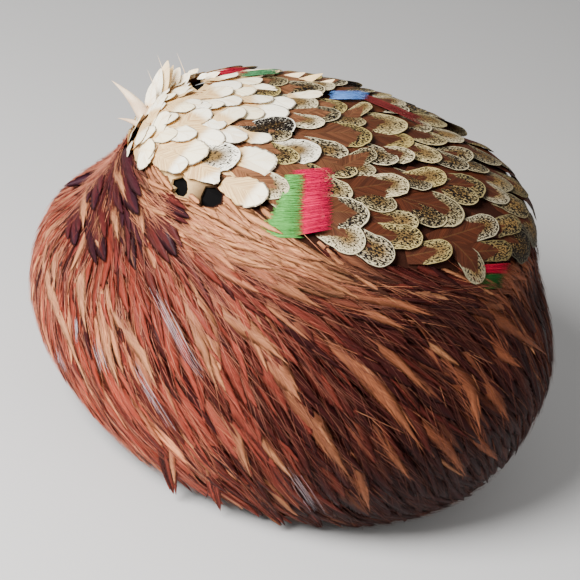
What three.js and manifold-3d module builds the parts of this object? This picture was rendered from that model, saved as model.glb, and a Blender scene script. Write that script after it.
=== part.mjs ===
// A feather hat of the bubble toque kind. Millimetres, +Z up, and -Y is the side that a viewer faces.
// It rests on the flat rim of its foundation at z = 0, and its box is centred on the Z axis.
// All feathers fan out from one pole at the left end of the crown.
import * as THREE from "three";
import { mergeVertices } from "three/addons/utils/BufferGeometryUtils.js";
import Module from "manifold-3d";

const wasm = await Module();
wasm.setup();

// Outline of the finished feather surface, one level ring a row:
// height, reach to the left (-X), reach to the right (+X) and half width (Y)
const OUTLINE = [
  { z: 0, left: 90, right: 106, half: 83 },
  { z: 10, left: 99, right: 116, half: 91 },
  { z: 26, left: 115, right: 127, half: 102 },
  { z: 50, left: 131, right: 133, half: 110 },
  { z: 76, left: 134, right: 134, half: 112 },
  { z: 95, left: 129, right: 127, half: 107 },
  { z: 112, left: 114, right: 118, half: 98 },
  { z: 124, left: 106, right: 111, half: 92 },
  { z: 137, left: 101, right: 107, half: 89 },
  { z: 150, left: 98, right: 104, half: 87 },
  { z: 161, left: 93, right: 94, half: 80 },
  { z: 169, left: 76, right: 64, half: 61 },
  { z: 173, left: 43, right: 30, half: 32 },
  { z: 174, left: 5, right: -5, half: 0 },
];
const CROWN_TOP = 174;
const MERGE_DISTANCE = 1e-3;

// Depths below that outline
const TIP_DEPTH = 0.2;
const FEATHER_EDGE_DEPTH = 1.2;
const ROOT_DEPTH = 2.9;
const COVER_DEPTH = 5.4;
const FOUNDATION_DEPTH = 6.8;
const FOUNDATION_WALL = 2;

// The line where the crown's feathers meet the hackles: lowest at the two ends of the hat
const BORDER_LOW = 135;
const BORDER_RISE = 17;
const BORDER_GAP = 0.8;

// The crown's feathers lie in courses across the fan, counted by angle from its pole
const FAN_CENTRE = new THREE.Vector3(0, 0, 100);
const CREAM_COURSES = 5;
const COURSES = 12;
const CROWN_COLUMNS = 40;
const CROWN_LINING_COLUMNS = 20;
const FEATHERS_ACROSS = [2, 4, 5, 8, 10];
const FEATHER_WIDTH = 17;
const FEATHER_POINT = 3.2;
const COURSE_STEP = 0.4;
const COVER_GAP = 0.65;

// The hackles hang from the border to the rim in four courses, swept back towards the right end
const HACKLE_COLUMNS = 80;
const HACKLE_COURSES = 4;
const HACKLE_SEGMENTS = 3;
const HACKLE_POINT = 0.055;
const HACKLE_STEP = 0.012;
const HACKLE_SWEEP = 40;
const HACKLE_TOP_DEPTH = 1.4;
const RIM_TIP = 1.6;
const RIM_NOTCH = 5.5;
const RAGGED_LIFT = 11;
const RAGGED_MIDDLE = 222;
const RAGGED_SPREAD = 38;
const LINING_ROWS = 12;

const FOUNDATION_COLUMNS = 40;
const FOUNDATION_ROWS = [174, 172, 168, 162, 155, 146, 136, 124, 110, 94, 76, 57, 39, 22, 9, 0];

// Bands of dyed feathers: angle from the pole, angle round it and lean, in degrees
const DYED_BANDS = [
  { name: "green_band_front", from: 64.6, to: 72.4, low: -57.5, high: -41.5, lean: -0.53, colour: 0x2f7f57 },
  { name: "pink_band_front", from: 73.3, to: 80.6, low: -53.5, high: -36.5, lean: -0.5, colour: 0xb12c55 },
  { name: "red_band_top", from: 32.6, to: 39.8, low: 31.5, high: 38.5, lean: 0.1, colour: 0xa8332f },
  { name: "green_band_top", from: 40.7, to: 48.8, low: 33.5, high: 40, lean: 0.1, colour: 0x2e6f4b },
  { name: "blue_band_top", from: 69, to: 78, low: 25, high: 33.5, lean: 0, colour: 0x3b5a8c },
  { name: "crimson_band_top", from: 79, to: 96, low: 25.5, high: 29, lean: -0.4, colour: 0x8f2436 },
  { name: "crimson_band_right", from: 121.5, to: 126.5, low: -33, high: -26, lean: -0.4, colour: 0x9a1f2c },
  { name: "green_band_right", from: 115, to: 120.5, low: -38, high: -31, lean: -0.4, colour: 0x1f4a33 },
];
const BAND_STRANDS = 6;
const BAND_ROWS = 2;
const BAND_RELIEF = 0.5;
const BAND_CUT_GAP = 0.45;
const BAND_FRINGE = 1.6;

// Gaps worn through the feathers: place on the fan and an outline in millimetres, along and across it
const WORN_GAPS = [
  { rho: 25.7, psi: 15, outline: [[-4, -5], [4.5, -3], [1, 6]] },
  { rho: 42.4, psi: -63.2, outline: [[-4, -3.6], [0.6, -4.8], [4.2, -1.5], [3.6, 3.6], [-1.2, 4.6], [-1.8, 0.6]] },
  { rho: 51.7, psi: -60, outline: [[-5, -4.4], [1.5, -5.4], [5.4, -1.6], [4.6, 4], [-1.6, 5.2], [-5.4, 1.5]] },
];

// Bare quills at the left end: place on the fan, length, thickness at the root and the way they point
const QUILLS = [
  { name: "quill_long", rho: 11, psi: 12, length: 25, radius: 1.9, points: [-0.82, 0.05, 0.57] },
  { name: "quill_short", rho: 10, psi: -24, length: 16, radius: 1.2, points: [-0.97, -0.1, 0.2] },
];
const QUILL_ROOT_DEPTH = 4;
const QUILL_CUT_GAP = 0.45;
const QUILL_SIDES = 8;

const CUT_ABOVE = 4;
const CUT_BELOW = 0.6;

const materials = {
  felt: new THREE.MeshStandardMaterial({ color: 0x14110f, roughness: 0.95, metalness: 0 }),
  hackle: new THREE.MeshStandardMaterial({ color: 0x5a2c25, roughness: 0.6, metalness: 0 }),
  cream: new THREE.MeshStandardMaterial({ color: 0xe3d6c2, roughness: 0.7, metalness: 0 }),
  speckled: new THREE.MeshStandardMaterial({ color: 0x6f6249, roughness: 0.65, metalness: 0 }),
  quill: new THREE.MeshStandardMaterial({ color: 0xe9e0d0, roughness: 0.45, metalness: 0 }),
};

const radians = THREE.MathUtils.degToRad;
const lerp = THREE.MathUtils.lerp;

// A column of the outline table at a fractional row, as a Catmull-Rom curve through the rows
function outlineValue(column, row) {
  const last = OUTLINE.length - 1;
  const first = Math.min(Math.floor(row), last - 1);
  const t = row - first;
  const [a, b, c, d] = [-1, 0, 1, 2].map((k) => OUTLINE[Math.min(Math.max(first + k, 0), last)][column]);
  const curve = 2 * b + (c - a) * t + (2 * a - 5 * b + 4 * c - d) * t * t + (3 * b - 3 * c + d - a) * t ** 3;
  return curve / 2;
}

// The fractional row whose height is z
function rowAtHeight(z) {
  let low = 0;
  let high = OUTLINE.length - 1;
  for (let step = 0; step < 26; step += 1) {
    const middle = (low + high) / 2;
    if (outlineValue("z", middle) < z) low = middle;
    else high = middle;
  }
  return (low + high) / 2;
}

// The ring at height z: the X of its middle and its two half widths
function ringAt(z) {
  const row = rowAtHeight(z);
  const left = outlineValue("left", row);
  const right = outlineValue("right", row);
  return {
    middle: (right - left) / 2,
    reach: Math.max((right + left) / 2, 1),
    half: Math.max(outlineValue("half", row), 1),
  };
}

// Zero on the outline, negative inside it
function outside(x, y, z) {
  const ring = ringAt(z);
  return ((x - ring.middle) / ring.reach) ** 2 + (y / ring.half) ** 2 - 1;
}

function outlineNormal(point) {
  const ring = ringAt(point.z);
  const step = 0.2;
  const rise = outside(point.x, point.y, point.z + step) - outside(point.x, point.y, point.z - step);
  const normal = new THREE.Vector3(
    (2 * (point.x - ring.middle)) / ring.reach ** 2,
    (2 * point.y) / ring.half ** 2,
    rise / (2 * step),
  );
  return normal.normalize();
}

// The point at a height and an angle round the hat, sunk by depth below the outline
function pointOnRing(z, theta, depth) {
  const ring = ringAt(z);
  const angle = radians(theta);
  const point = new THREE.Vector3(ring.middle + ring.reach * Math.cos(angle), ring.half * Math.sin(angle), z);
  return point.addScaledVector(outlineNormal(point), -depth);
}

function borderHeight(theta) {
  return BORDER_LOW + BORDER_RISE * Math.abs(Math.sin(radians(theta)));
}

// The fan's axes: the pole, the way over the top of the crown, and the way to the back
const fanPole = pointOnRing(BORDER_LOW, 180, 0).sub(FAN_CENTRE).normalize();
const fanOver = new THREE.Vector3(1, 0, 0).addScaledVector(fanPole, -fanPole.x).normalize();
const fanBack = new THREE.Vector3().crossVectors(fanPole, fanOver);

// The point of the outline at rho from the pole and psi round it, in degrees, with its normal
function fanSurface(rho, psi) {
  const direction = fanPole
    .clone()
    .multiplyScalar(Math.cos(radians(rho)))
    .addScaledVector(fanOver, Math.sin(radians(rho)) * Math.cos(radians(psi)))
    .addScaledVector(fanBack, Math.sin(radians(rho)) * Math.sin(radians(psi)));
  const furthest = 200;
  let low = 0;
  let high = furthest;
  for (let step = 0; step < 30; step += 1) {
    const middle = (low + high) / 2;
    const point = FAN_CENTRE.clone().addScaledVector(direction, middle);
    if (point.z < CROWN_TOP && outside(point.x, point.y, point.z) < 0) low = middle;
    else high = middle;
  }
  const point = FAN_CENTRE.clone().addScaledVector(direction, low);
  return { point, normal: outlineNormal(point) };
}

function fanPoint(rho, psi, depth) {
  const { point, normal } = fanSurface(rho, psi);
  return point.addScaledVector(normal, -depth);
}

// The border's place on the fan, sampled along the front half: psi by rho
const borderSamples = [];
for (let theta = 181; theta <= 360; theta += 1) {
  const direction = pointOnRing(borderHeight(theta), theta, 0).sub(FAN_CENTRE).normalize();
  borderSamples.push({
    rho: THREE.MathUtils.radToDeg(Math.acos(direction.dot(fanPole))),
    psi: Math.abs(THREE.MathUtils.radToDeg(Math.atan2(direction.dot(fanBack), direction.dot(fanOver)))),
  });
}
const FAN_LENGTH = borderSamples[borderSamples.length - 1].rho;

function borderPsi(rho) {
  const next = borderSamples.findIndex((sample) => sample.rho >= rho);
  if (next < 0) return 0;
  if (next === 0) return borderSamples[0].psi;
  const [a, b] = [borderSamples[next - 1], borderSamples[next]];
  return lerp(a.psi, b.psi, (rho - a.rho) / (b.rho - a.rho));
}

// Triangles of a skin through rows of points, facing out where rows run away from columns right-handedly
function addSkin(triangles, rows, inwards) {
  for (let i = 0; i < rows.length - 1; i += 1) {
    for (let j = 0; j < rows[i].length - 1; j += 1) {
      const [a, b, c, d] = [rows[i][j], rows[i + 1][j], rows[i + 1][j + 1], rows[i][j + 1]];
      if (inwards) triangles.push([a, c, b], [a, d, c]);
      else triangles.push([a, b, c], [a, c, d]);
    }
  }
}

// Share of its whole length that each point of an edge has covered
function travelled(edge) {
  const lengths = [0];
  for (let k = 1; k < edge.length; k += 1) lengths.push(lengths[k - 1] + edge[k].distanceTo(edge[k - 1]));
  const whole = lengths[lengths.length - 1] || 1;
  return lengths.map((length) => length / whole);
}

function evenly(edge) {
  return edge.map((_, k) => k / (edge.length - 1));
}

// Triangles of a wall between two edges that may have different numbers of points
function addWall(triangles, first, second, spacing) {
  const [firstAt, secondAt] = [spacing(first), spacing(second)];
  let i = 0;
  let j = 0;
  while (i < first.length - 1 || j < second.length - 1) {
    const firstNext = i < first.length - 1 ? firstAt[i + 1] : Infinity;
    const secondNext = j < second.length - 1 ? secondAt[j + 1] : Infinity;
    if (firstNext <= secondNext) {
      triangles.push([first[i + 1], first[i], second[j]]);
      i += 1;
    } else {
      triangles.push([first[i], second[j], second[j + 1]]);
      j += 1;
    }
  }
}

// One closed body between an outer and an inner skin. Rings close on themselves and have no side walls.
function shellGeometry(outer, inner, ringed) {
  const triangles = [];
  addSkin(triangles, outer, false);
  addSkin(triangles, inner, true);
  addWall(triangles, inner[0], outer[0], evenly);
  addWall(triangles, outer[outer.length - 1], inner[inner.length - 1], evenly);
  if (!ringed) {
    const side = (rows, at) => rows.map((row) => row.at(at));
    addWall(triangles, side(outer, 0), side(inner, 0), travelled);
    addWall(triangles, side(inner, -1), side(outer, -1), travelled);
  }
  return geometryOf(triangles);
}

// A geometry of shared vertices, without the triangles that poles and seams squeeze flat
function geometryOf(triangles) {
  const closest = 2 * MERGE_DISTANCE;
  const whole = triangles.filter(
    ([a, b, c]) => a.distanceTo(b) > closest && b.distanceTo(c) > closest && c.distanceTo(a) > closest,
  );
  const positions = whole.flat().flatMap((point) => point.toArray());
  const geometry = new THREE.BufferGeometry();
  geometry.setAttribute("position", new THREE.Float32BufferAttribute(positions, 3));
  return mergeVertices(geometry, MERGE_DISTANCE);
}

function solidOf(geometry) {
  const bare = new THREE.BufferGeometry();
  bare.setAttribute("position", geometry.getAttribute("position"));
  bare.setIndex(geometry.index);
  const merged = mergeVertices(bare, MERGE_DISTANCE);
  return new wasm.Manifold(
    new wasm.Mesh({
      numProp: 3,
      vertProperties: new Float32Array(merged.getAttribute("position").array),
      triVerts: new Uint32Array(merged.index.array),
    }),
  );
}

function cutAway(geometry, cutters) {
  let solid = solidOf(geometry);
  for (const cutter of cutters) solid = solid.subtract(solidOf(cutter));
  const mesh = solid.getMesh();
  const cut = new THREE.BufferGeometry();
  cut.setAttribute("position", new THREE.Float32BufferAttribute(mesh.vertProperties, 3));
  cut.setIndex([...mesh.triVerts]);
  return cut;
}

// Foundation: a close felt cap under the feathers, open at the bottom, with a flat rim
function foundationGeometry() {
  const skin = (depth) => {
    const rows = FOUNDATION_ROWS.map((z) => {
      const row = [];
      for (let j = 0; j < FOUNDATION_COLUMNS; j += 1) {
        row.push(pointOnRing(z, (360 * j) / FOUNDATION_COLUMNS, depth));
      }
      return row;
    });
    rows[0].fill(new THREE.Vector3(0, 0, CROWN_TOP - depth));
    rows.push(rows[rows.length - 1].map((point) => new THREE.Vector3(point.x, point.y, 0)));
    return rows.map((row) => [...row, row[0]]);
  };
  return shellGeometry(skin(FOUNDATION_DEPTH), skin(FOUNDATION_DEPTH + FOUNDATION_WALL), true);
}

// How many feathers lie side by side in a course at rho
function feathersAcross(rho) {
  const width = 2 * radians(borderPsi(rho)) * Math.sin(radians(rho)) * FAN_CENTRE.z;
  return FEATHERS_ACROSS.reduce((best, count) =>
    Math.abs(width / count - FEATHER_WIDTH) < Math.abs(width / best - FEATHER_WIDTH) ? count : best,
  );
}

// 1 along a feather's middle and 0 at its edges, for a place u from -1 to 1 across a course
function bulge(course, rho, u) {
  const stagger = course % 2 ? 0.5 : 0;
  const across = (((u + 1) / 2) * feathersAcross(rho) + stagger) % 1;
  return 1 - (2 * across - 1) ** 2;
}

// Where a course's tips lie, in degrees from the pole
function tipRho(course, u) {
  const rho = (FAN_LENGTH * course) / COURSES;
  if (course === 0 || course === COURSES) return rho;
  return rho + FEATHER_POINT * (bulge(course, rho, u) - 0.5);
}

function fanRow(columns, rhoAt, depthAt) {
  const row = [];
  for (let j = 0; j <= columns; j += 1) {
    const u = (2 * j) / columns - 1;
    const rho = rhoAt(u);
    row.push(fanPoint(rho, u * borderPsi(rho), depthAt(u)));
  }
  return row;
}

// A stretch of the crown's cover, from one course's tips to another's
function crownCoverGeometry(firstCourse, lastCourse) {
  const startGap = firstCourse === 0 ? 0 : COVER_GAP;
  const startRho = (u) => tipRho(firstCourse, u) + startGap;
  const endRho = (u) => tipRho(lastCourse, u);
  const tipDepth = (course) => (u) => {
    const rho = (FAN_LENGTH * course) / COURSES;
    return lerp(FEATHER_EDGE_DEPTH, TIP_DEPTH, bulge(course, rho, u));
  };
  const outer = [fanRow(CROWN_COLUMNS, startRho, () => ROOT_DEPTH)];
  for (let course = firstCourse + 1; course <= lastCourse; course += 1) {
    const atEnd = course === COURSES;
    outer.push(fanRow(CROWN_COLUMNS, (u) => tipRho(course, u), atEnd ? () => TIP_DEPTH : tipDepth(course)));
    if (course < lastCourse) {
      outer.push(fanRow(CROWN_COLUMNS, (u) => tipRho(course, u) + COURSE_STEP, () => ROOT_DEPTH));
    }
  }
  const inner = [];
  const rows = 2 * (lastCourse - firstCourse);
  for (let k = 0; k <= rows; k += 1) {
    inner.push(fanRow(CROWN_LINING_COLUMNS, (u) => lerp(startRho(u), endRho(u), k / rows), () => COVER_DEPTH));
  }
  return shellGeometry(outer, inner, false);
}

// The hackles' lines sweep from the left end round both sides to the right end as they come down
function hackleTheta(column, share) {
  const angle = (360 * column) / HACKLE_COLUMNS;
  const turned = 1 - (1 - share) ** 2;
  return angle - HACKLE_SWEEP * Math.sin(radians(angle)) * (turned - 0.5);
}

// Height of the lowest tips: ragged and worn higher at the lower left
function rimHeight(column, theta) {
  const fromMiddle = Math.abs(theta - RAGGED_MIDDLE) / RAGGED_SPREAD;
  const lift = fromMiddle < 1 ? RAGGED_LIFT * Math.cos((fromMiddle * Math.PI) / 2) ** 2 : 0;
  return (column % 2 ? RIM_NOTCH : RIM_TIP) + lift;
}

function hacklePoint(column, share, depth) {
  const theta = hackleTheta(column, share);
  const bottom = rimHeight(column, theta);
  return pointOnRing(lerp(borderHeight(theta) - BORDER_GAP, bottom, share), theta, depth);
}

function hackleRow(step, shareAt, depthAt) {
  const row = [];
  for (let column = 0; column <= HACKLE_COLUMNS; column += step) {
    const wrapped = column % HACKLE_COLUMNS;
    row.push(hacklePoint(wrapped, shareAt(wrapped), depthAt(wrapped)));
  }
  return row;
}

// Hackles: long narrow feathers in courses, with pointed tips that lie over the next course
function hackleGeometry() {
  const isTip = (course, column) => (column + course) % 2 === 0;
  const tipShare = (course) => (column) => {
    if (course === HACKLE_COURSES) return 1;
    return course / HACKLE_COURSES + (isTip(course, column) ? HACKLE_POINT : -HACKLE_POINT);
  };
  const outer = [hackleRow(1, () => 0, () => HACKLE_TOP_DEPTH)];
  for (let course = 1; course <= HACKLE_COURSES; course += 1) {
    const start = (column) => (course === 1 ? 0 : tipShare(course - 1)(column) + HACKLE_STEP);
    const startDepth = course === 1 ? HACKLE_TOP_DEPTH : ROOT_DEPTH;
    const endDepth = (column) => (isTip(course, column) ? TIP_DEPTH : FEATHER_EDGE_DEPTH);
    if (course > 1) outer.push(hackleRow(1, start, () => ROOT_DEPTH));
    for (let segment = 1; segment <= HACKLE_SEGMENTS; segment += 1) {
      const along = segment / HACKLE_SEGMENTS;
      const shareAt = (column) => lerp(start(column), tipShare(course)(column), along);
      outer.push(hackleRow(1, shareAt, (column) => lerp(startDepth, endDepth(column), along)));
    }
  }
  const inner = [];
  for (let k = 0; k <= LINING_ROWS; k += 1) {
    inner.push(hackleRow(2, () => k / LINING_ROWS, () => COVER_DEPTH));
  }
  return shellGeometry(outer, inner, true);
}

// A four-sided patch of the fan between two depths. Grown, it is the cutter of its own recess.
function bandGeometry(band, grow, topDepth, bottomDepth, fringe) {
  const growRho = THREE.MathUtils.radToDeg(grow / (CROWN_TOP - FAN_CENTRE.z));
  const growPsi = growRho / Math.sin(radians(band.from));
  const middle = (band.low + band.high) / 2;
  const skin = (depthAt) => {
    const points = [];
    for (let i = 0; i <= BAND_ROWS; i += 1) {
      const row = [];
      for (let j = 0; j <= BAND_STRANDS; j += 1) {
        const psi = lerp(band.low - growPsi, band.high + growPsi, j / BAND_STRANDS);
        const notch = i === BAND_ROWS && j % 2 ? fringe : 0;
        const along = lerp(band.from - growRho, band.to + growRho - notch, i / BAND_ROWS);
        row.push(fanPoint(along + band.lean * (psi - middle), psi, depthAt(i, j)));
      }
      points.push(row);
    }
    return points;
  };
  const outer = skin((i, j) => topDepth + (fringe && j % 2 ? BAND_RELIEF : 0));
  return shellGeometry(outer, skin(() => bottomDepth), false);
}

// A straight-sided plug of the given outline, standing on the fan at rho, psi
function gapCutter({ rho, psi, outline }) {
  const { point, normal } = fanSurface(rho, psi);
  const along = fanSurface(rho + 1, psi).point.sub(point).projectOnPlane(normal).normalize();
  const across = new THREE.Vector3().crossVectors(normal, along);
  const ring = (height) =>
    outline.map(([x, y]) =>
      point.clone().addScaledVector(along, x).addScaledVector(across, y).addScaledVector(normal, height),
    );
  const close = (edge) => [...edge, edge[0]];
  const [high, low] = [ring(CUT_ABOVE), ring(-COVER_DEPTH - CUT_BELOW)];
  const cap = (height) => outline.map(() => point.clone().addScaledVector(normal, height));
  const rows = [cap(CUT_ABOVE), high, low, cap(-COVER_DEPTH - CUT_BELOW)].map(close);
  const triangles = [];
  addSkin(triangles, rows, false);
  return geometryOf(triangles);
}

// A tapered spike, rooted in the cover and pointing out of it
function quillGeometry(quill, grow) {
  const length = quill.length + 2 * grow;
  const radius = quill.radius + grow;
  const cone = new THREE.ConeGeometry(radius, length, QUILL_SIDES);
  cone.deleteAttribute("normal");
  cone.deleteAttribute("uv");
  cone.translate(0, length / 2, 0);
  const points = new THREE.Vector3(...quill.points).normalize();
  cone.applyQuaternion(new THREE.Quaternion().setFromUnitVectors(new THREE.Vector3(0, 1, 0), points));
  const root = fanPoint(quill.rho, quill.psi, QUILL_ROOT_DEPTH).addScaledVector(points, -grow);
  cone.translate(root.x, root.y, root.z);
  return mergeVertices(cone, MERGE_DISTANCE);
}

const group = new THREE.Group();

function addPiece(name, geometry, material) {
  geometry.computeVertexNormals();
  const mesh = new THREE.Mesh(geometry, material);
  mesh.name = name;
  group.add(mesh);
}

const recesses = DYED_BANDS.map((band) =>
  bandGeometry(band, BAND_CUT_GAP, -CUT_ABOVE, COVER_DEPTH + CUT_BELOW, 0),
);
const sockets = QUILLS.map((quill) => quillGeometry(quill, QUILL_CUT_GAP));
const gaps = WORN_GAPS.map(gapCutter);

addPiece("foundation", foundationGeometry(), materials.felt);
addPiece("hackle_feathers", hackleGeometry(), materials.hackle);
const creamCover = crownCoverGeometry(0, CREAM_COURSES);
addPiece("cream_feathers", cutAway(creamCover, [...gaps, ...sockets, ...recesses]), materials.cream);
const speckledCover = crownCoverGeometry(CREAM_COURSES, COURSES);
addPiece("speckled_feathers", cutAway(speckledCover, recesses), materials.speckled);

for (const band of DYED_BANDS) {
  const dyed = new THREE.MeshStandardMaterial({ color: band.colour, roughness: 0.6, metalness: 0 });
  addPiece(band.name, bandGeometry(band, 0, TIP_DEPTH, COVER_DEPTH, BAND_FRINGE), dyed);
}
for (const quill of QUILLS) {
  addPiece(quill.name, quillGeometry(quill, 0), materials.quill);
}

export default group;
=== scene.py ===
"""Feather hat: a bubble toque whose feathers all fan out from one pole at the left end of the crown."""

import math
import random

import bmesh
import bpy
from mathutils import Matrix, Vector
from mathutils.bvhtree import BVHTree
from mathutils.interpolate import poly_3d_calc


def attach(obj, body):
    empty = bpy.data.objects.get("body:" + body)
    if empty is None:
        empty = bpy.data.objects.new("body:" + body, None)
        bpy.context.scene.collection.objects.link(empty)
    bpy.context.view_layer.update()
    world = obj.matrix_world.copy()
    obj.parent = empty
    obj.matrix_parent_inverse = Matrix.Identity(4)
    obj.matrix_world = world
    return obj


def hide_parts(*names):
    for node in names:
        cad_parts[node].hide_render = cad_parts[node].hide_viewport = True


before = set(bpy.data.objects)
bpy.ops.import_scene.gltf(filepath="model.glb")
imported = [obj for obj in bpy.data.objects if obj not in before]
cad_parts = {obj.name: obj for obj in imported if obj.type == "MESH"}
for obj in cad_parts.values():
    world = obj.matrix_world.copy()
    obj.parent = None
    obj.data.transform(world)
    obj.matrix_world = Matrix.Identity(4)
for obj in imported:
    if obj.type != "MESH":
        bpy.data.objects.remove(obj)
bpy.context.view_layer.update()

bl_info = {
    "name": "Feather Hat",
    "version": (1, 0, 0),
    "blender": (4, 5, 0),
    "location": "3D View > Sidebar > Feather Hat",
    "description": "Dresses a bubble toque in fanned crown feathers, hackles, dyed barbs and quills",
    "category": "Add Mesh",
}

BODY = "root"
SEED = 7

# The photograph's frame and the camera that sees it
FRAME_PIXELS = 580
FRAME_WIDTH = 0.290
PIXEL = FRAME_WIDTH / FRAME_PIXELS
VIEW_ELEVATION = math.radians(32)
VIEW_ROLL = math.radians(15)
VIEW_DISTANCE = 0.9
VIEW_TARGET = Vector((-0.004, 0, 0.079))
SENSOR_MM = 36

BACK = Vector((0, -math.cos(VIEW_ELEVATION), math.sin(VIEW_ELEVATION)))
LEVEL_RIGHT = Vector((1, 0, 0))
LEVEL_UP = BACK.cross(LEVEL_RIGHT)
VIEW_RIGHT = LEVEL_RIGHT * math.cos(VIEW_ROLL) + LEVEL_UP * math.sin(VIEW_ROLL)
VIEW_UP = LEVEL_UP * math.cos(VIEW_ROLL) - LEVEL_RIGHT * math.sin(VIEW_ROLL)
CAMERA_PLACE = VIEW_TARGET + BACK * VIEW_DISTANCE

# The hat's own lines, as in its solids
FAN_CENTRE = Vector((0, 0, 0.100))
POLE = Vector((-0.1017, 0, 0.135))
BORDER_LOW = 0.135
BORDER_RISE = 0.017
CREAM_REACH = 0.086
CREAM_REACH_IN_FRONT = 0.020
CREAM_WAVE = 0.005
CREAM_WAVE_PACE = 140

# How feathers lie: heights over the foundation's skin and the floor, and depths under the feathers' outline
OUTLINE_RISE = 0.0068
CROWN_COVER = 0.0032
FLOOR_CLEARANCE = 0.0009
LEAST_HEIGHT = 0.0002
EDGE_DIP = 0.38
DROOP = 0.5
LEAST_SLOPE = 0.01
CURL_START = 0.5
RIM_TIP_HEIGHT = 0.0045
STANDING_ROOT_DEPTH = 0.003
STANDING_OVERLAP = 0.15
RIM_LEAN = 0.5
RIM_TIP_SPREAD = 0.3

# Where the sides' and the crown's feathers end, as distances from the line between them
SIDE_START = 0.001
CROWN_START = 0.006
BARBS_OVER = 0.007
COVERED = (0.001, 0.009)
SHORT_UNDER_CROWN = (0.022, 0.004)
PEACH_UNDER_CROWN = (0.024, 0.006)

# Distances at which feathers change: from the pole, from the purple patch and from the rust one
HACKLES_FROM_POLE = (0.025, 0.110)
SPACING_FROM_POLE = (0.02, 0.11)
WIDTH_FROM_POLE = (0.015, 0.090)
PURPLE_REACH = (0.045, 0.025)
RUST_REACH = (0.030, 0.010)

# Soft zones of the hat. Each step names an axis, where it is 0 and where it is 1, in metres
ZONES = {
    "drooping": [("z", 0.115, 0.045), ("x", -0.060, 0.020)],
    # Painted shade: hackles darken towards the right, where less light falls
    "right": [("x", -0.110, 0.095)],
    # Painted shade: tan streaks darken towards the right
    "tan_right": [("x", -0.12, 0.12)],
    # Painted shade: fewer pale strands towards the right
    "strands_right": [("x", -0.06, 0.09)],
    # Painted shade: more maroon hackles low on the right
    "low_right": [("z", 0.110, 0.040), ("x", -0.020, 0.080)],
    # Painted light: lighter hackles low at the left end
    "painted_light_low_left": [("z", 0.100, 0.030), ("x", 0.075, -0.050)],
    "front": [("y", 0.02, -0.03)],
    "peach": [("y", 0.02, -0.03), ("x", -0.085, -0.060), ("x", 0.050, -0.015)],
    "barbs_over": [("x", 0.03, -0.02), ("y", 0.0, -0.05), ("x", -0.095, -0.075)],
    "cream_front": [("y", -0.045, -0.080)],
    "chestnut": [("x", -0.025, 0.045)],
    # Painted shade: speckled feathers darken towards the right
    "speckled_right": [("x", 0.01, 0.11)],
    # Painted sheen: grey borders where the crown's right end turns away
    "grey_sheen": [("x", 0.070, 0.115)],
}

# How places and spines are found
LOWEST_AIM = -0.75
OUTSIDE = 0.4
FAR = 1
SEARCH_STEPS = 40
SEARCH_PARTS = 120
BRIDGE_STEPS = 3
SPINE_STEPS = 6
TINY = 1e-9
LEAST_SHOWN = 0.45

# Worn gaps: how far from their outlines feathers are tested, narrowed and cut
GAP_REACH = 60
GAP_MARGIN = 0.0004
NEAR_GAP = 0.006
GAP_CUT_REACH = 0.045

# How many strands make up a hackle's fringe and a painted glint, and how many blades a ragged tip
FRINGE = 7
GLINT_STRANDS = 17
RIM_BLADES = 8


def rows(columns, *values):
    """Table rows as dicts, with the names of their columns."""
    return [dict(zip(columns.split(), row)) for row in values]


# Crown feathers that show well in the photograph: tip, root and width, all in its pixels
CREAM_PICKS = rows(
    "tip root width",
    ((139, 144), (141, 122), 15),
    ((141, 170), (145, 144), 16),
    ((164, 94), (148, 116), 10),
    ((166, 111), (152, 136), 13),
    ((163, 64), (150, 80), 11),
    ((196, 72), (152, 91), 13),
    ((210, 109), (180, 121), 20),
    ((244, 108), (199, 130), 18),
    ((207, 156), (172, 145), 31),
    ((278, 161), (240, 157), 32),
    ((267, 199), (236, 184), 29),
    ((238, 73), (206, 76), 9),
    ((263, 79), (232, 78), 10),
    ((322, 92), (290, 93), 12),
    ((186, 168), (158, 155), 20),
    ((233, 88), (188, 95), 15),
)

# The same for speckled feathers. Where given, tone says how far from the tip the dark centre starts,
# flecks how dense the flecks are, and pale how white the border is
SPECKLED_PICKS = rows(
    "tip root width tone flecks pale",
    ((293, 120), (246, 129), 27, 2.0, 1.3, 0.9),
    ((241, 153), (204, 153), 30, 1.6, 0.0, 1.0),
    ((321, 148), (276, 147), 28, 1.6, -0.2, 0.7),
    ((341, 113), (298, 108), 19),
    ((372, 134), (322, 129), 28),
    ((408, 124), (365, 116), 26),
    ((369, 103), (342, 117), 14),
    ((447, 143), (416, 127), 19),
    ((415, 154), (378, 149), 19),
    ((374, 150), (330, 170), 18),
    ((408, 181), (342, 187), 27),
    ((444, 172), (402, 180), 25),
    ((485, 186), (446, 180), 29),
    ((370, 215), (325, 207), 30),
    ((419, 222), (378, 214), 19),
    ((423, 237), (370, 232), 23),
    ((465, 216), (416, 197), 33),
    ((452, 247), (424, 252), 22),
    ((497, 221), (456, 232), 25),
    ((520, 221), (494, 226), 20),
    ((512, 250), (482, 250), 20),
    ((481, 283), (466, 250), 22),
    ((472, 152), (448, 150), 22),
)

# Strips where no other feather's tip may lie, so that a feather's plain root shows
CLEAR_STRIPS = rows(
    "root tip width",
    ((250, 172), (276, 176), 20),
    ((226, 172), (240, 178), 20),
)

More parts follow.
